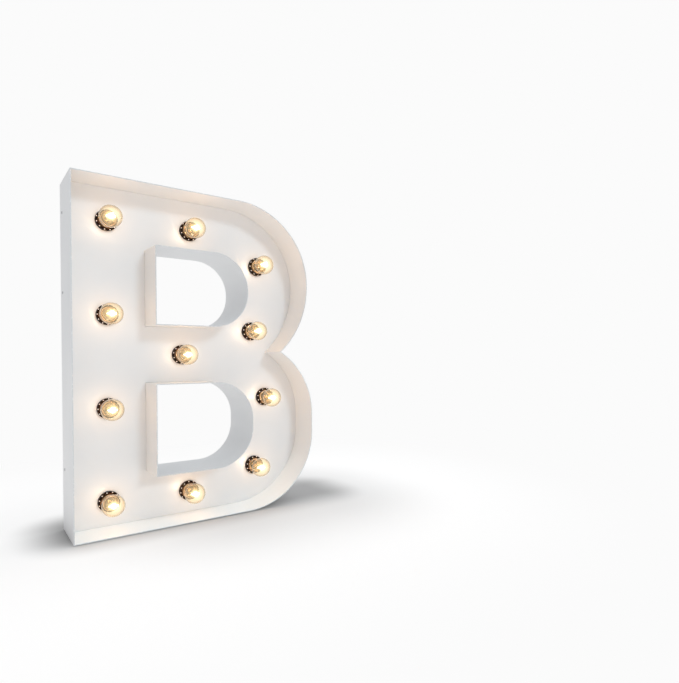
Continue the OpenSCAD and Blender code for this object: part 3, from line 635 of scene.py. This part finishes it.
def turned(name, profile, sides=48):
    """Turned piece, from points of (radius, height)."""
    return skin(name, [around(radius, height, sides) for radius, height in profile])


def wire_rows(path, radius, sides=6):
    """Rows for a round wire along a path, with a tip at each end."""
    points = [Vector(p) for p in path]
    side = (points[1] - points[0]).orthogonal().normalized()
    rows = [[points[0]]]
    for n, point in enumerate(points):
        way = (points[min(n + 1, len(points) - 1)] - points[max(n - 1, 0)]).normalized()
        side = (side - side.dot(way) * way).normalized()
        over = way.cross(side)
        steps = [2 * math.pi * k / sides for k in range(sides)]
        rows.append([point + radius * (math.cos(a) * side + math.sin(a) * over) for a in steps])
    return rows + [[points[-1]]]


print("Tools for skins, turned pieces and wires are ready")


# %% Join and add pieces
def merged(name, parts):
    """One mesh of several, each with the matrix that puts it in place."""
    bm = bmesh.new()
    for mesh, place in parts:
        start = len(bm.verts)
        bm.from_mesh(mesh)
        bm.verts.ensure_lookup_table()
        bmesh.ops.transform(bm, matrix=place, verts=bm.verts[start:])
    return finished(bm, name)


def add_piece(name, mesh, slot, body, place=None, stands_for=(), finish=None):
    """New piece of the object: its finish, its place, the body it moves with and what it stands for."""
    mesh.materials.clear()
    mesh.materials.append(finish or FINISHES[slot])
    piece = bpy.data.objects.new(name, mesh)
    scene.collection.objects.link(piece)
    piece.matrix_world = place or Matrix.Identity(4)
    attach(piece, body)
    if stands_for:
        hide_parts(*stands_for)
    return piece


print("Tools to join and add pieces are ready")

# %% [markdown]
# ## Softened edges
#
# Cut sheet and moulded plastic never have knife edges: paint rounds them, and the small radius catches a line
# of light that tells the eye how thick the metal is. The frame's edges are sharp, and its meshes stay as they
# are, so each of these pieces gets a copy. In the copy, flat triangles are joined into whole faces first, so
# that the bevel only finds the real edges.

# %% Soften the edges of sheet and plastic
EDGE_RADII = {
    "left_side": 0.30, "upper_bowl_side": 0.30, "lower_bowl_side": 0.30,
    "upper_counter_wall": 0.30, "lower_counter_wall": 0.30, "rear_cover": 0.25,
    "inlet_body": 0.40, "switch_housing": 0.35, "switch_rocker": 0.45, "feet": 0.35,
}
FLAT_ANGLE = math.radians(0.5)
EDGE_ANGLE = math.radians(40)


def evened(mesh):
    """Mesh whose flat faces are shaded flat right up to their rounded edges."""
    return worked(mesh, "WEIGHTED_NORMAL", {"weight": 100, "keep_sharp": True})


def softened(node, radius):
    bm = bmesh.new()
    bm.from_mesh(frame["nodes"][node].data)
    bmesh.ops.remove_doubles(bm, verts=bm.verts, dist=WELD_GAP)
    bmesh.ops.dissolve_limit(bm, angle_limit=FLAT_ANGLE, verts=bm.verts, edges=bm.edges)
    edges = [e for e in bm.edges if len(e.link_faces) == 2 and e.calc_face_angle() > EDGE_ANGLE]
    bmesh.ops.bevel(bm, geom=edges, offset=radius * MM, segments=2, profile=0.5, affect="EDGES",
                    clamp_overlap=True)
    return evened(finished(bm, f"{node}_soft"))


bodies = frame["record"]["behaviour"]["bodies"]
body_of_node = {node: body for body, nodes in bodies.items() for node in nodes}
soft_pieces = {}
for node, radius in EDGE_RADII.items():
    mesh = softened(node, radius)
    piece = add_piece(f"{node}_soft", mesh, node_slot[node], body_of_node[node], stands_for=[node])
    soft_pieces[node] = piece
    print(f"{node}: edges of {radius:.2f} mm, {len(mesh.polygons)} faces")

# %% [markdown]
# ## Light on the tray's floor
#
# The strip under the lowest lamps faces up, and in the photograph it is nearly white. More light from above
# on the whole letter would wash out the grey of the other walls, so one more broad light is kept to this one
# strip. It comes from high in front, and reaches the strip under the lamps and the crossbars.

# %% Light the tray's floor
TRAY_FROM = Vector((0.10, -0.55, 0.83))
TRAY_COLOUR = (0.60, 0.88, 1.0)
TRAY_STRENGTH = 1.0
TRAY_SPREAD = math.radians(20)

tray_light = far_light("tray_light", TRAY_FROM, TRAY_COLOUR, TRAY_STRENGTH, TRAY_SPREAD)
strip = soft_pieces["lower_bowl_side"]
tray_light.light_linking.receiver_collection = linked("tray_light_finds", [strip], "INCLUDE")

# %% [markdown]
# ## Pale dots on the shade rings
#
# Each ring has twelve shallow pockets round its bevel, filled with pale enamel that looks like a string of
# beads. The pockets are in the frame, but every ring is turned its own way, with its wiring. A pocket comes
# every thirty degrees, so twelve times the angle of a point on its wall is alike for all twelve pockets. The
# mean of those directions, divided by twelve again, is the turn of the ring, and the beads fall into place.

# %% Fill the pockets
ENAMEL_DULL = (0.90, 0.80, 0.72)
ENAMEL_BRIGHT = (0.95, 0.86, 0.78)
# Painted glow: the dots give off a faint light of their own, for the lamp light that falls on them.
ENAMEL_PAINTED_GLOW = (0.45, 0.36, 0.30)
ENAMEL_SMOOTHEST = 0.2
ENAMEL_CELLS = 500
ENAMEL_SPAN = (0.3, 0.7)
ENAMEL_HAZE_CELLS = 900
ENAMEL_HAZE_ROUGH = 0.15
DOTS = 12
DOT_R = 0.96
DOT_FOOT = -0.55
DOT_TOP = 0.34
DOT_SIDES = 16
RING_BEVEL = 2.0
BEVEL_ANGLE = math.radians(45)
LEVEL_SLACK = 0.05
WALL_SLACK = 0.2

ring_points = [v.co for v in frame["nodes"]["shade_rings"].data.vertices]
bead = turned("bead", [
    (0, DOT_FOOT), (DOT_R, DOT_FOOT), (DOT_R, 0),
    (0.8 * DOT_R, 0.2), (0.45 * DOT_R, 0.31), (0, DOT_TOP),
], DOT_SIDES)


def pale_enamel():
    """The dots' finish; a faint painted glow of its own stands for the lamp light that the globe sends to the
    dots.
    """
    enamel = Finish("pale_enamel", {"Emission Color": ENAMEL_PAINTED_GLOW, "Emission Strength": 1.0})
    cloud = enamel.noise(ENAMEL_CELLS).rising(*ENAMEL_SPAN)
    enamel.set({
        "Base Color": enamel.blend(cloud, ENAMEL_DULL, ENAMEL_BRIGHT),
        "Roughness": ENAMEL_SMOOTHEST + ENAMEL_HAZE_ROUGH * enamel.noise(ENAMEL_HAZE_CELLS),
    })
    return enamel.material


def pocket_points(number):
    """Points of one ring's pockets, seen from the lamp, and the ring's radius, in millimetres."""
    home = lamp_place(number).inverted()
    points = [home @ co / MM for co in ring_points]
    near = [p for p in points if math.hypot(p.x, p.y) < globe_r]
    lowest = ring_front - RING_BEVEL + LEVEL_SLACK
    bevel = [p for p in near if lowest < p.z < ring_front - LEVEL_SLACK]
    rim = max(math.hypot(p.x, p.y) for p in near)
    return [p for p in bevel if math.hypot(p.x, p.y) > rim - RING_BEVEL + WALL_SLACK], rim


enamel_finish = pale_enamel()
dots = []
for number in LAMPS:
    points, rim = pocket_points(number)
    sines = sum(math.sin(DOTS * math.atan2(p.y, p.x)) for p in points)
    cosines = sum(math.cos(DOTS * math.atan2(p.y, p.x)) for p in points)
    ring_turn = math.atan2(sines, cosines) / DOTS
    out = Matrix.Translation(Vector((rim - RING_BEVEL / 2, 0, ring_front - RING_BEVEL / 2)) * MM)
    tilt = Matrix.Rotation(BEVEL_ANGLE, 4, "Y")
    spots = [Matrix.Rotation(ring_turn + 2 * math.pi * n / DOTS, 4, "Z") @ out @ tilt for n in range(DOTS)]
    name = f"ring_{number}_dots"
    beads = merged(name, [(bead, spot) for spot in spots])
    piece = add_piece(name, beads, "white_paint", "letter", lamp_place(number), finish=enamel_finish)
    dots.append(piece)
print(len(LAMPS), "rings with", DOTS, "dots each")

# %% [markdown]
# ## Lamp caps
#
# A screw cap is rolled from thin metal: its thread is a soft wave that climbs round it, and its skirt flares
# out under the glass with a rolled lip. The frame has the thread as plain rings, which is enough for the fit.
# Here the wave is written as a formula of height and angle. A dark glass insulator and a drop of solder close
# the end.

# %% Roll the caps
THREAD_PITCH = 3.63
THREAD_TURNS = 4
THREAD_CREST_R = 13.0
THREAD_ROOT_R = 12.2
CAP_T = 0.4
SOLDER_H = 1.5
INSULATOR_H = 2.5
SOLDER_R = 4.5
SKIRT_BORE_R = 12.8
ROWS_PER_TURN = 14
CAP_SIDES = 56

flare_r = half_width("lamp_1_cap")
thread_low = cap_back + SOLDER_H + INSULATOR_H
thread_high = thread_low + THREAD_TURNS * THREAD_PITCH


def thread_row(height):
    """Points round the cap at one height; the wave fades out at both ends of the thread."""
    fade = min(1, (height - thread_low) / THREAD_PITCH, 2 * (thread_high - height) / THREAD_PITCH)
    row = []
    for n in range(CAP_SIDES):
        angle = 2 * math.pi * n / CAP_SIDES
        wave = 0.5 + 0.5 * math.cos(2 * math.pi * height / THREAD_PITCH - angle)
        radius = THREAD_ROOT_R + fade * wave * (THREAD_CREST_R - THREAD_ROOT_R)
        row.append((radius * math.cos(angle), radius * math.sin(angle), height))
    return row


def cap_shell():
    """Cap of thin metal: up the thread, up the skirt, over its lip and down the inside."""
    steps = THREAD_TURNS * ROWS_PER_TURN
    rows = [thread_row(thread_low + (thread_high - thread_low) * n / steps) for n in range(steps + 1)]
    skirt = [
        (THREAD_CREST_R - 0.2, thread_high + 0.5), (THREAD_CREST_R, thread_high + 1),
        (THREAD_CREST_R, ring_front - 0.6), (THREAD_CREST_R + 0.15, ring_front),
        (flare_r - 0.15, cap_front - 0.45), (flare_r, cap_front - 0.25), (flare_r - 0.1, cap_front - 0.05),
        (flare_r - 0.3, cap_front), (flare_r - 0.5, cap_front - 0.15), (SKIRT_BORE_R + 0.1, ring_front),
        (SKIRT_BORE_R, ring_front - 0.6), (SKIRT_BORE_R, thread_high + 0.5),
        (THREAD_ROOT_R - CAP_T, thread_high), (THREAD_ROOT_R - CAP_T, thread_low),
    ]
    rows += [around(radius, height, CAP_SIDES) for radius, height in skirt]
    return skin("cap_shell", rows, closed=True)


shell = cap_shell()
insulator = turned("cap_insulator", [
    (0, thread_low - 0.1), (THREAD_ROOT_R - CAP_T - 0.1, thread_low - 0.1),
    (THREAD_ROOT_R - 0.4, thread_low - 0.3), (9.6, thread_low - 1.0), (7.0, thread_low - 1.9),
    (SOLDER_R + 0.4, thread_low - INSULATOR_H + 0.1),
    (SOLDER_R, thread_low - INSULATOR_H), (0, thread_low - INSULATOR_H),
])
solder = turned("cap_contact", [
    (0, cap_back + SOLDER_H), (SOLDER_R, cap_back + SOLDER_H), (SOLDER_R - 0.1, cap_back + 0.9),
    (SOLDER_R - 0.8, cap_back + 0.4), (SOLDER_R - 2.2, cap_back + 0.1), (0, cap_back),
])
shells = []
for number in LAMPS:
    base = f"lamp_{number}_base"
    place = lamp_place(number)
    piece = add_piece(f"lamp_{number}_shell", shell, "cap_metal", base, place, [f"lamp_{number}_cap"])
    shells.append(piece)
    add_piece(f"lamp_{number}_insulator", insulator, "black_plastic", base, place)
    add_piece(f"lamp_{number}_contact", solder, "pin_metal", base, place)
print(f"Caps with a thread of {THREAD_PITCH} mm and a skirt {2 * flare_r:.1f} mm across")

# %% [markdown]
# ## Globes
#
# A globe is blown in one go: a straight neck that the cap is cemented to, a soft shoulder, and a ball. The
# frame's globe is a plain neck and ball with the same wall. Light bends at both surfaces of the wall, so its
# facets would show as broken reflections. This one is turned with finer steps and shaded smooth, from the
# inside of the ball round the neck's end to the outside of the ball. The glass casts no shadow, so that the
# lamp's light gets out.

# %% Blow the globes
NECK_R = 12.3
GLASS_T = 0.8
SHOULDER_R = 5.0
SHOULDER_STEPS = 6
BALL_STEPS = 30
GLOBE_SIDES = 72


def globe_profile(radius, neck_r):
    """Neck, shoulder and ball; the shoulder is an arc round a hub that stands beside the neck."""
    hub_r = neck_r + SHOULDER_R
    hub_back = math.sqrt((radius + SHOULDER_R) ** 2 - hub_r ** 2)
    hub = globe_middle - hub_back
    start = math.atan2(hub_r, hub_back)
    bend = math.pi / 2 - start
    shoulder = [bend * n / SHOULDER_STEPS for n in range(SHOULDER_STEPS + 1)]
    ball = [start + (math.pi - start) * n / BALL_STEPS for n in range(1, BALL_STEPS)]
    profile = [(neck_r, globe_back)]
    profile += [(hub_r - SHOULDER_R * math.cos(a), hub + SHOULDER_R * math.sin(a)) for a in shoulder]
    profile += [(radius * math.sin(a), globe_middle - radius * math.cos(a)) for a in ball]
    return profile + [(0, globe_middle + radius)]


def shadowless(piece):
    """Let lamp light pass a piece, and keep the piece itself from lighting what is round it."""
    piece.visible_shadow = False
    piece.visible_diffuse = False


outer_wall = globe_profile(globe_r, NECK_R)
inner_wall = globe_profile(globe_r - GLASS_T, NECK_R - GLASS_T)
globe = turned("lamp_globe", inner_wall[::-1] + outer_wall, GLOBE_SIDES)
for number in LAMPS:
    body = f"lamp_{number}"
    piece = add_piece(f"{body}_glass", globe, "lamp_glass", body, lamp_place(number), [f"{body}_globe"])
    shadowless(piece)
print(f"Globes of {len(globe.polygons)} faces")

# %% [markdown]
# ## Filaments
#
# Inside the globe a glass stem with a flared foot carries two stout wires, and between them hangs a coil of
# hair-thin tungsten, held by two finer hooks. The frame has this as one plain solid. Here the stem is pressed
# flat at its end, where the wires are sealed in, and the coil is a true helix that follows a half circle.

# %% Press the stems
STEM_R = 3.0
STEM_FOOT_R = 11.3
STEM_GAP = 16
STEM_END = globe_middle - STEM_GAP
STEM_SIDES = 40
PRESS_WIDE = 3.1
PRESS_THIN = 1.3


def oval(wide, thin, height):
    return [(x * wide, y * thin, z) for x, y, z in around(1, height, STEM_SIDES)]


stem = skin("lamp_stem", [
    [(0, 0, globe_back + 0.05)], oval(STEM_FOOT_R, STEM_FOOT_R, globe_back + 0.05),
    oval(STEM_FOOT_R, STEM_FOOT_R, globe_back + 0.9), oval(7.2, 7.2, globe_back + 1.9),
    oval(4.6, 4.6, globe_back + 3.2), oval(STEM_R, STEM_R, globe_back + 5.2),
    oval(STEM_R, STEM_R, STEM_END - 6.5), oval(PRESS_WIDE, PRESS_THIN + 0.5, STEM_END - 4.5),
    oval(PRESS_WIDE, PRESS_THIN, STEM_END - 3), oval(PRESS_WIDE, PRESS_THIN, STEM_END - 0.6),
    oval(PRESS_WIDE - 0.5, PRESS_THIN - 0.5, STEM_END), [(0, 0, STEM_END)],
])
print(f"Stems that end {STEM_END:.1f} mm out")

# %% Wind the filaments
LEAD_R = 0.4
LEAD_SIDES = 8
LEAD_FOOT = 1.5
HOOK_R = 0.17
HOOK_SHARES = (0.33, 0.67)
ARC_R = 7.0
COIL_R = 0.62
COIL_WIRE_R = 0.17
COIL_SIDES = 5
COIL_TURNS = 30
STEPS_PER_TURN = 10


def arc_point(share):
    """Point on the half circle that the coil follows, and the way out from its middle."""
    out = Vector((-math.cos(math.pi * share), 0, math.sin(math.pi * share)))
    return Vector((0, 0, globe_middle)) + ARC_R * out, out


def coil_path():
    steps = COIL_TURNS * STEPS_PER_TURN
    path = []
    for n in range(steps + 1):
        point, out = arc_point(n / steps)
        angle = 2 * math.pi * n / STEPS_PER_TURN
        path.append(point + COIL_R * (math.cos(angle) * out + math.sin(angle) * Vector((0, 1, 0))))
    return path


def lead_path(side):
    end, out = arc_point(0 if side < 0 else 1)
    return [
        (side * LEAD_FOOT, 0, STEM_END - 3), (side * LEAD_FOOT, 0, STEM_END),
        (side * (LEAD_FOOT + 0.8), 0, STEM_END + 2.5), end - Vector((side * 0.9, 0, 1.2)),
        end - Vector((0, 0, 0.2)), end + Vector((0, 0, 0.5)),
    ]


def hook_path(share):
    end, out = arc_point(share)
    return [(0, 0, STEM_END - 1), (0, 0, STEM_END + 4), end - 2.5 * out, end - 0.9 * out, end + 0.7 * out]


leads = [skin("lead", wire_rows(lead_path(side), LEAD_R, LEAD_SIDES)) for side in (-1, 1)]
hooks = [skin("hook", wire_rows(hook_path(share), HOOK_R)) for share in HOOK_SHARES]
supports = merged("lamp_supports", [(mesh, Matrix.Identity(4)) for mesh in leads + hooks])
coil = skin("lamp_coil", wire_rows(coil_path(), COIL_WIRE_R, COIL_SIDES))
for number in LAMPS:
    body = f"lamp_{number}"
    place = lamp_place(number)
    fittings = [
        add_piece(f"{body}_stem", stem, "lamp_glass", body, place, [f"{body}_filament"]),
        add_piece(f"{body}_supports", supports, "pin_metal", body, place),
        add_piece(f"{body}_coil", coil, "filament", body, place),
    ]
    for piece in fittings:
        shadowless(piece)
print(f"Coils of {COIL_TURNS} turns, {len(coil.polygons)} faces each")

# %% [markdown]
# ## Lamp light
#
# The lamps are lit, and their warm light makes pale halos on the panel and tints the inner walls. A glowing
# coil of hair-thin wire is too small for a renderer to find by chance, so a small round light inside each
# globe does that work, and is seen through the glass as the lamp's white heart. In the photograph a halo
# starts right at its ring, so the rings, the holders, the caps and the dots let the lamps' light pass, as
# the glass does. Each light moves with its lamp.

# %% Light the lamps
LAMP_COLOUR = (1.0, 0.58, 0.26)
LAMP_WATTS = 0.030
LAMP_LIGHT_R = 4.5 * MM

holders = [frame["nodes"][name] for name in ("shade_rings", "lamp_holders", "screw_shells")]
passed = linked("lets_lamp_light_pass", holders + shells + dots, "EXCLUDE")
for number in LAMPS:
    body = f"lamp_{number}"
    bulb = bpy.data.lights.new(f"{body}_light", "POINT")
    bulb.color = LAMP_COLOUR
    bulb.energy = LAMP_WATTS
    bulb.shadow_soft_size = LAMP_LIGHT_R
    bulb_place = bpy.data.objects.new(f"{body}_light", bulb)
    bulb_place.location = lamp_place(number) @ Vector((0, 0, (globe_middle + ARC_R / 2) * MM))
    bulb_place.parent = frame["bodies"][body]
    bulb_place.light_linking.blocker_collection = passed
    scene.collection.objects.link(bulb_place)
print(len(LAMPS), "lamps lit")

# %% [markdown]
# ## Screws
#
# The walls, the rear cover and the inlet are held by small screws with domed heads and a cross recess. The
# frame has them as plain discs on pins. A separate solid of a node is a group of joined points. A round
# piece has two sizes alike, so the third lies along the screw's axis, and its wider end is the head. So each
# screw can be measured and made anew in its place. The recess is cut with a boolean, because its edges have
# to be crisp.

# %% Measure the frame's screws
END_SLACK = 0.01 * MM


def solids(node):
    """Points of each separate solid of a node; a dict keeps them in the same order in every run."""
    bm = bmesh.new()
    bm.from_mesh(frame["nodes"][node].data)
    bmesh.ops.remove_doubles(bm, verts=bm.verts, dist=WELD_GAP)
    left = dict.fromkeys(bm.verts)
    found = []
    while left:
        group = [left.popitem()[0]]
        for vert in group:
            near = [edge.other_vert(vert) for edge in vert.link_edges]
            for other in near:
                if other in left:
                    del left[other]
                    group.append(other)
        found.append([vert.co.copy() for vert in group])
    bm.free()
    return found


def measured(points):
    """Axis line of a screw's solid: the tip of its head, the way out of the head, and its length."""
    low = Vector(min(p[n] for p in points) for n in range(3))
    high = Vector(max(p[n] for p in points) for n in range(3))
    size = high - low
    mean_size = sum(size) / 3
    axis = max(range(3), key=lambda n: abs(size[n] - mean_size))
    middle = (low + high) / 2

    def end_radius(end):
        level = [p - middle for p in points if abs(p[axis] - end[axis]) < END_SLACK]
        return max(math.sqrt(sum(p[n] ** 2 for n in range(3) if n != axis)) for p in level)

    out = Vector((0, 0, 0))
    out[axis] = 1 if end_radius(high) > end_radius(low) else -1
    tip = middle + out * size[axis] / 2
    return tip, out, size[axis] / MM


# Radius and height of the head and radius of the shank, in millimetres
SCREWS = {"side_screws": (2.7, 1.2, 1.5), "cover_screws": (4.0, 2.4, 2.0), "inlet_screws": (2.7, 1.6, 1.5)}
places = {node: [measured(points) for points in solids(node)] for node in SCREWS}
print("Screws found:", {node: len(found) for node, found in places.items()})

# %% Make the screws
RECESS_WIDE = 0.62
RECESS_THIN = 0.17
RECESS_DEEP = 0.7
DOME_SHARES = (0.35, 0.6, 0.8, 0.93, 1.0)
DOME_DROP = 0.8
POINT_LONG = 0.6
POINT_IN = 0.5
SCREW_SIDES = 32
TURN_EACH = 1.3


def cross_cutter(head_r, depth):
    bm = bmesh.new()
    for wide, thin in ((RECESS_WIDE, RECESS_THIN), (RECESS_THIN, RECESS_WIDE)):
        size = Vector((2 * wide * head_r, 2 * thin * head_r, 2 * depth)) * MM
        bmesh.ops.create_cube(bm, size=1, matrix=Matrix.Diagonal((*size, 1)))
    return finished(bm, "cross_cutter")


def cut(mesh, cutter):
    """Mesh with another one cut out of it."""
    tool = bpy.data.objects.new("cut_tool", cutter)
    scene.collection.objects.link(tool)
    settings = {"object": tool, "operation": "DIFFERENCE", "use_self": True}
    bm = bmesh.new()
    bm.from_mesh(worked(mesh, "BOOLEAN", settings))
    bpy.data.objects.remove(tool)
    return finished(bm, mesh.name)


def screw(head_r, head_h, shank_r, length):
    """Screw with the middle of its domed head's top at the origin and its shank along -Z."""
    dome = [(head_r * share, -head_h * (share ** 3) * DOME_DROP) for share in DOME_SHARES]
    shank = [
        (head_r, -head_h), (shank_r, -head_h), (shank_r, POINT_LONG - length),
        (shank_r - POINT_IN, -length), (0, -length),
    ]
    blank = turned("screw", [(0, 0)] + dome + shank, SCREW_SIDES)
    return cut(blank, cross_cutter(head_r, RECESS_DEEP * head_h))


for node, (head_r, head_h, shank_r) in SCREWS.items():
    parts = []
    for number, (tip, out, length) in enumerate(places[node]):
        spin = Matrix.Rotation(TURN_EACH * number, 4, "Z")
        place = Matrix.Translation(tip) @ out.to_track_quat("Z", "Y").to_matrix().to_4x4() @ spin
        parts.append((screw(head_r, head_h, shank_r, length), place))
    add_piece(f"{node}_crossed", merged(node, parts), node_slot[node], "letter", stands_for=[node])
    print(f"{node}: {len(parts)} screws {length:.1f} mm long")

# %% [markdown]
# ## Switch signs
#
# A rocker shows its state by two plain signs: a bar at the end that is pressed for on, and a ring at the end
# that is pressed for off. They could be painted by a mask in the plastic, but a mask has no edge of its own.
# So each is a thin raised shape on one of the rocker's two slanted faces, found on the frame's own rocker.
# The letter is lit, so the face that lies level with the rear cover is the one for on.

# %% Mark the rocker
SIGN_LOW = -0.05
SIGN_HIGH = 0.06
BAR_HALF = (0.4, 1.7)
RING_RADII = (1.1, 1.7)
SIGN_SIDES = 32
LEVEL_ANGLE = math.radians(5)
SLANT_ANGLE = math.radians(25)
SIGN_ROOM = 10 * MM * MM


def rocker_face(least, most):
    """Place on the middle of the rocker's face that leans so much off the cover, with Z out of the face."""
    rear = Vector((0, 1, 0))
    faces = [f for f in frame["nodes"]["switch_rocker"].data.polygons
             if f.area > SIGN_ROOM and least <= f.normal.angle(rear) < most]
    middle = sum((f.area * f.center for f in faces), Vector()) / sum(f.area for f in faces)
    return Matrix.Translation(middle) @ faces[0].normal.to_track_quat("Z", "Y").to_matrix().to_4x4()


def bar_sign():
    corners = [(x * BAR_HALF[0], y * BAR_HALF[1]) for x, y in ((-1, -1), (1, -1), (1, 1), (-1, 1))]
    layers = [[(x, y, height) for x, y in corners] for height in (SIGN_LOW, SIGN_HIGH)]
    return skin("bar_sign", [[(0, 0, SIGN_LOW)], *layers, [(0, 0, SIGN_HIGH)]])


def ring_sign():
    inner, outer = RING_RADII
    profile = [(inner, SIGN_LOW), (outer, SIGN_LOW), (outer, SIGN_HIGH), (inner, SIGN_HIGH)]
    return skin("ring_sign", [around(radius, height, SIGN_SIDES) for radius, height in profile], closed=True)


on_face = rocker_face(0, LEVEL_ANGLE)
off_face = rocker_face(LEVEL_ANGLE, SLANT_ANGLE)
signs = merged("switch_signs", [(bar_sign(), on_face), (ring_sign(), off_face)])
add_piece("switch_signs", signs, "white_paint", body_of_node["switch_rocker"])
print("Switch signs of", len(signs.polygons), "faces")

# %% [markdown]
# ## Glow in the lens
#
# In the photograph each white-hot coil spreads into a soft bright patch, because a lens scatters a little of
# such strong light. A glare step after the render does the same to every pixel that is brighter than white,
# from whatever side the letter is seen. The spread light is made stronger and a little yellower before it
# is added to the picture.

# %% Add the glow
GLOW_SIZE = 0.02
GLOW_FROM = 1.2
GLOW_SATURATION = 0.6
GLOW_GAIN = (1.3, 1.45, 1.0)

scene.use_nodes = True
scene.node_tree.nodes.clear()
darkroom = Tree(scene.node_tree)
picture = darkroom.node("CompositorNodeRLayers", out="Image")
glow = darkroom.node("CompositorNodeGlare", {"glare_type": "BLOOM", "quality": "HIGH"}, {
    "Image": picture, "Threshold": GLOW_FROM, "Strength": 1.0, "Saturation": GLOW_SATURATION,
    "Size": GLOW_SIZE,
}, "Glare")
stronger = darkroom.node("CompositorNodeMixRGB", {"blend_type": "MULTIPLY"}, {0: 1.0, 1: glow, 2: GLOW_GAIN})
developed = darkroom.node("CompositorNodeMixRGB", {"blend_type": "ADD"}, {0: 1.0, 1: picture, 2: stronger})
darkroom.node("CompositorNodeComposite", {}, {"Image": developed})
print("Glow round whatever is brighter than", GLOW_FROM)
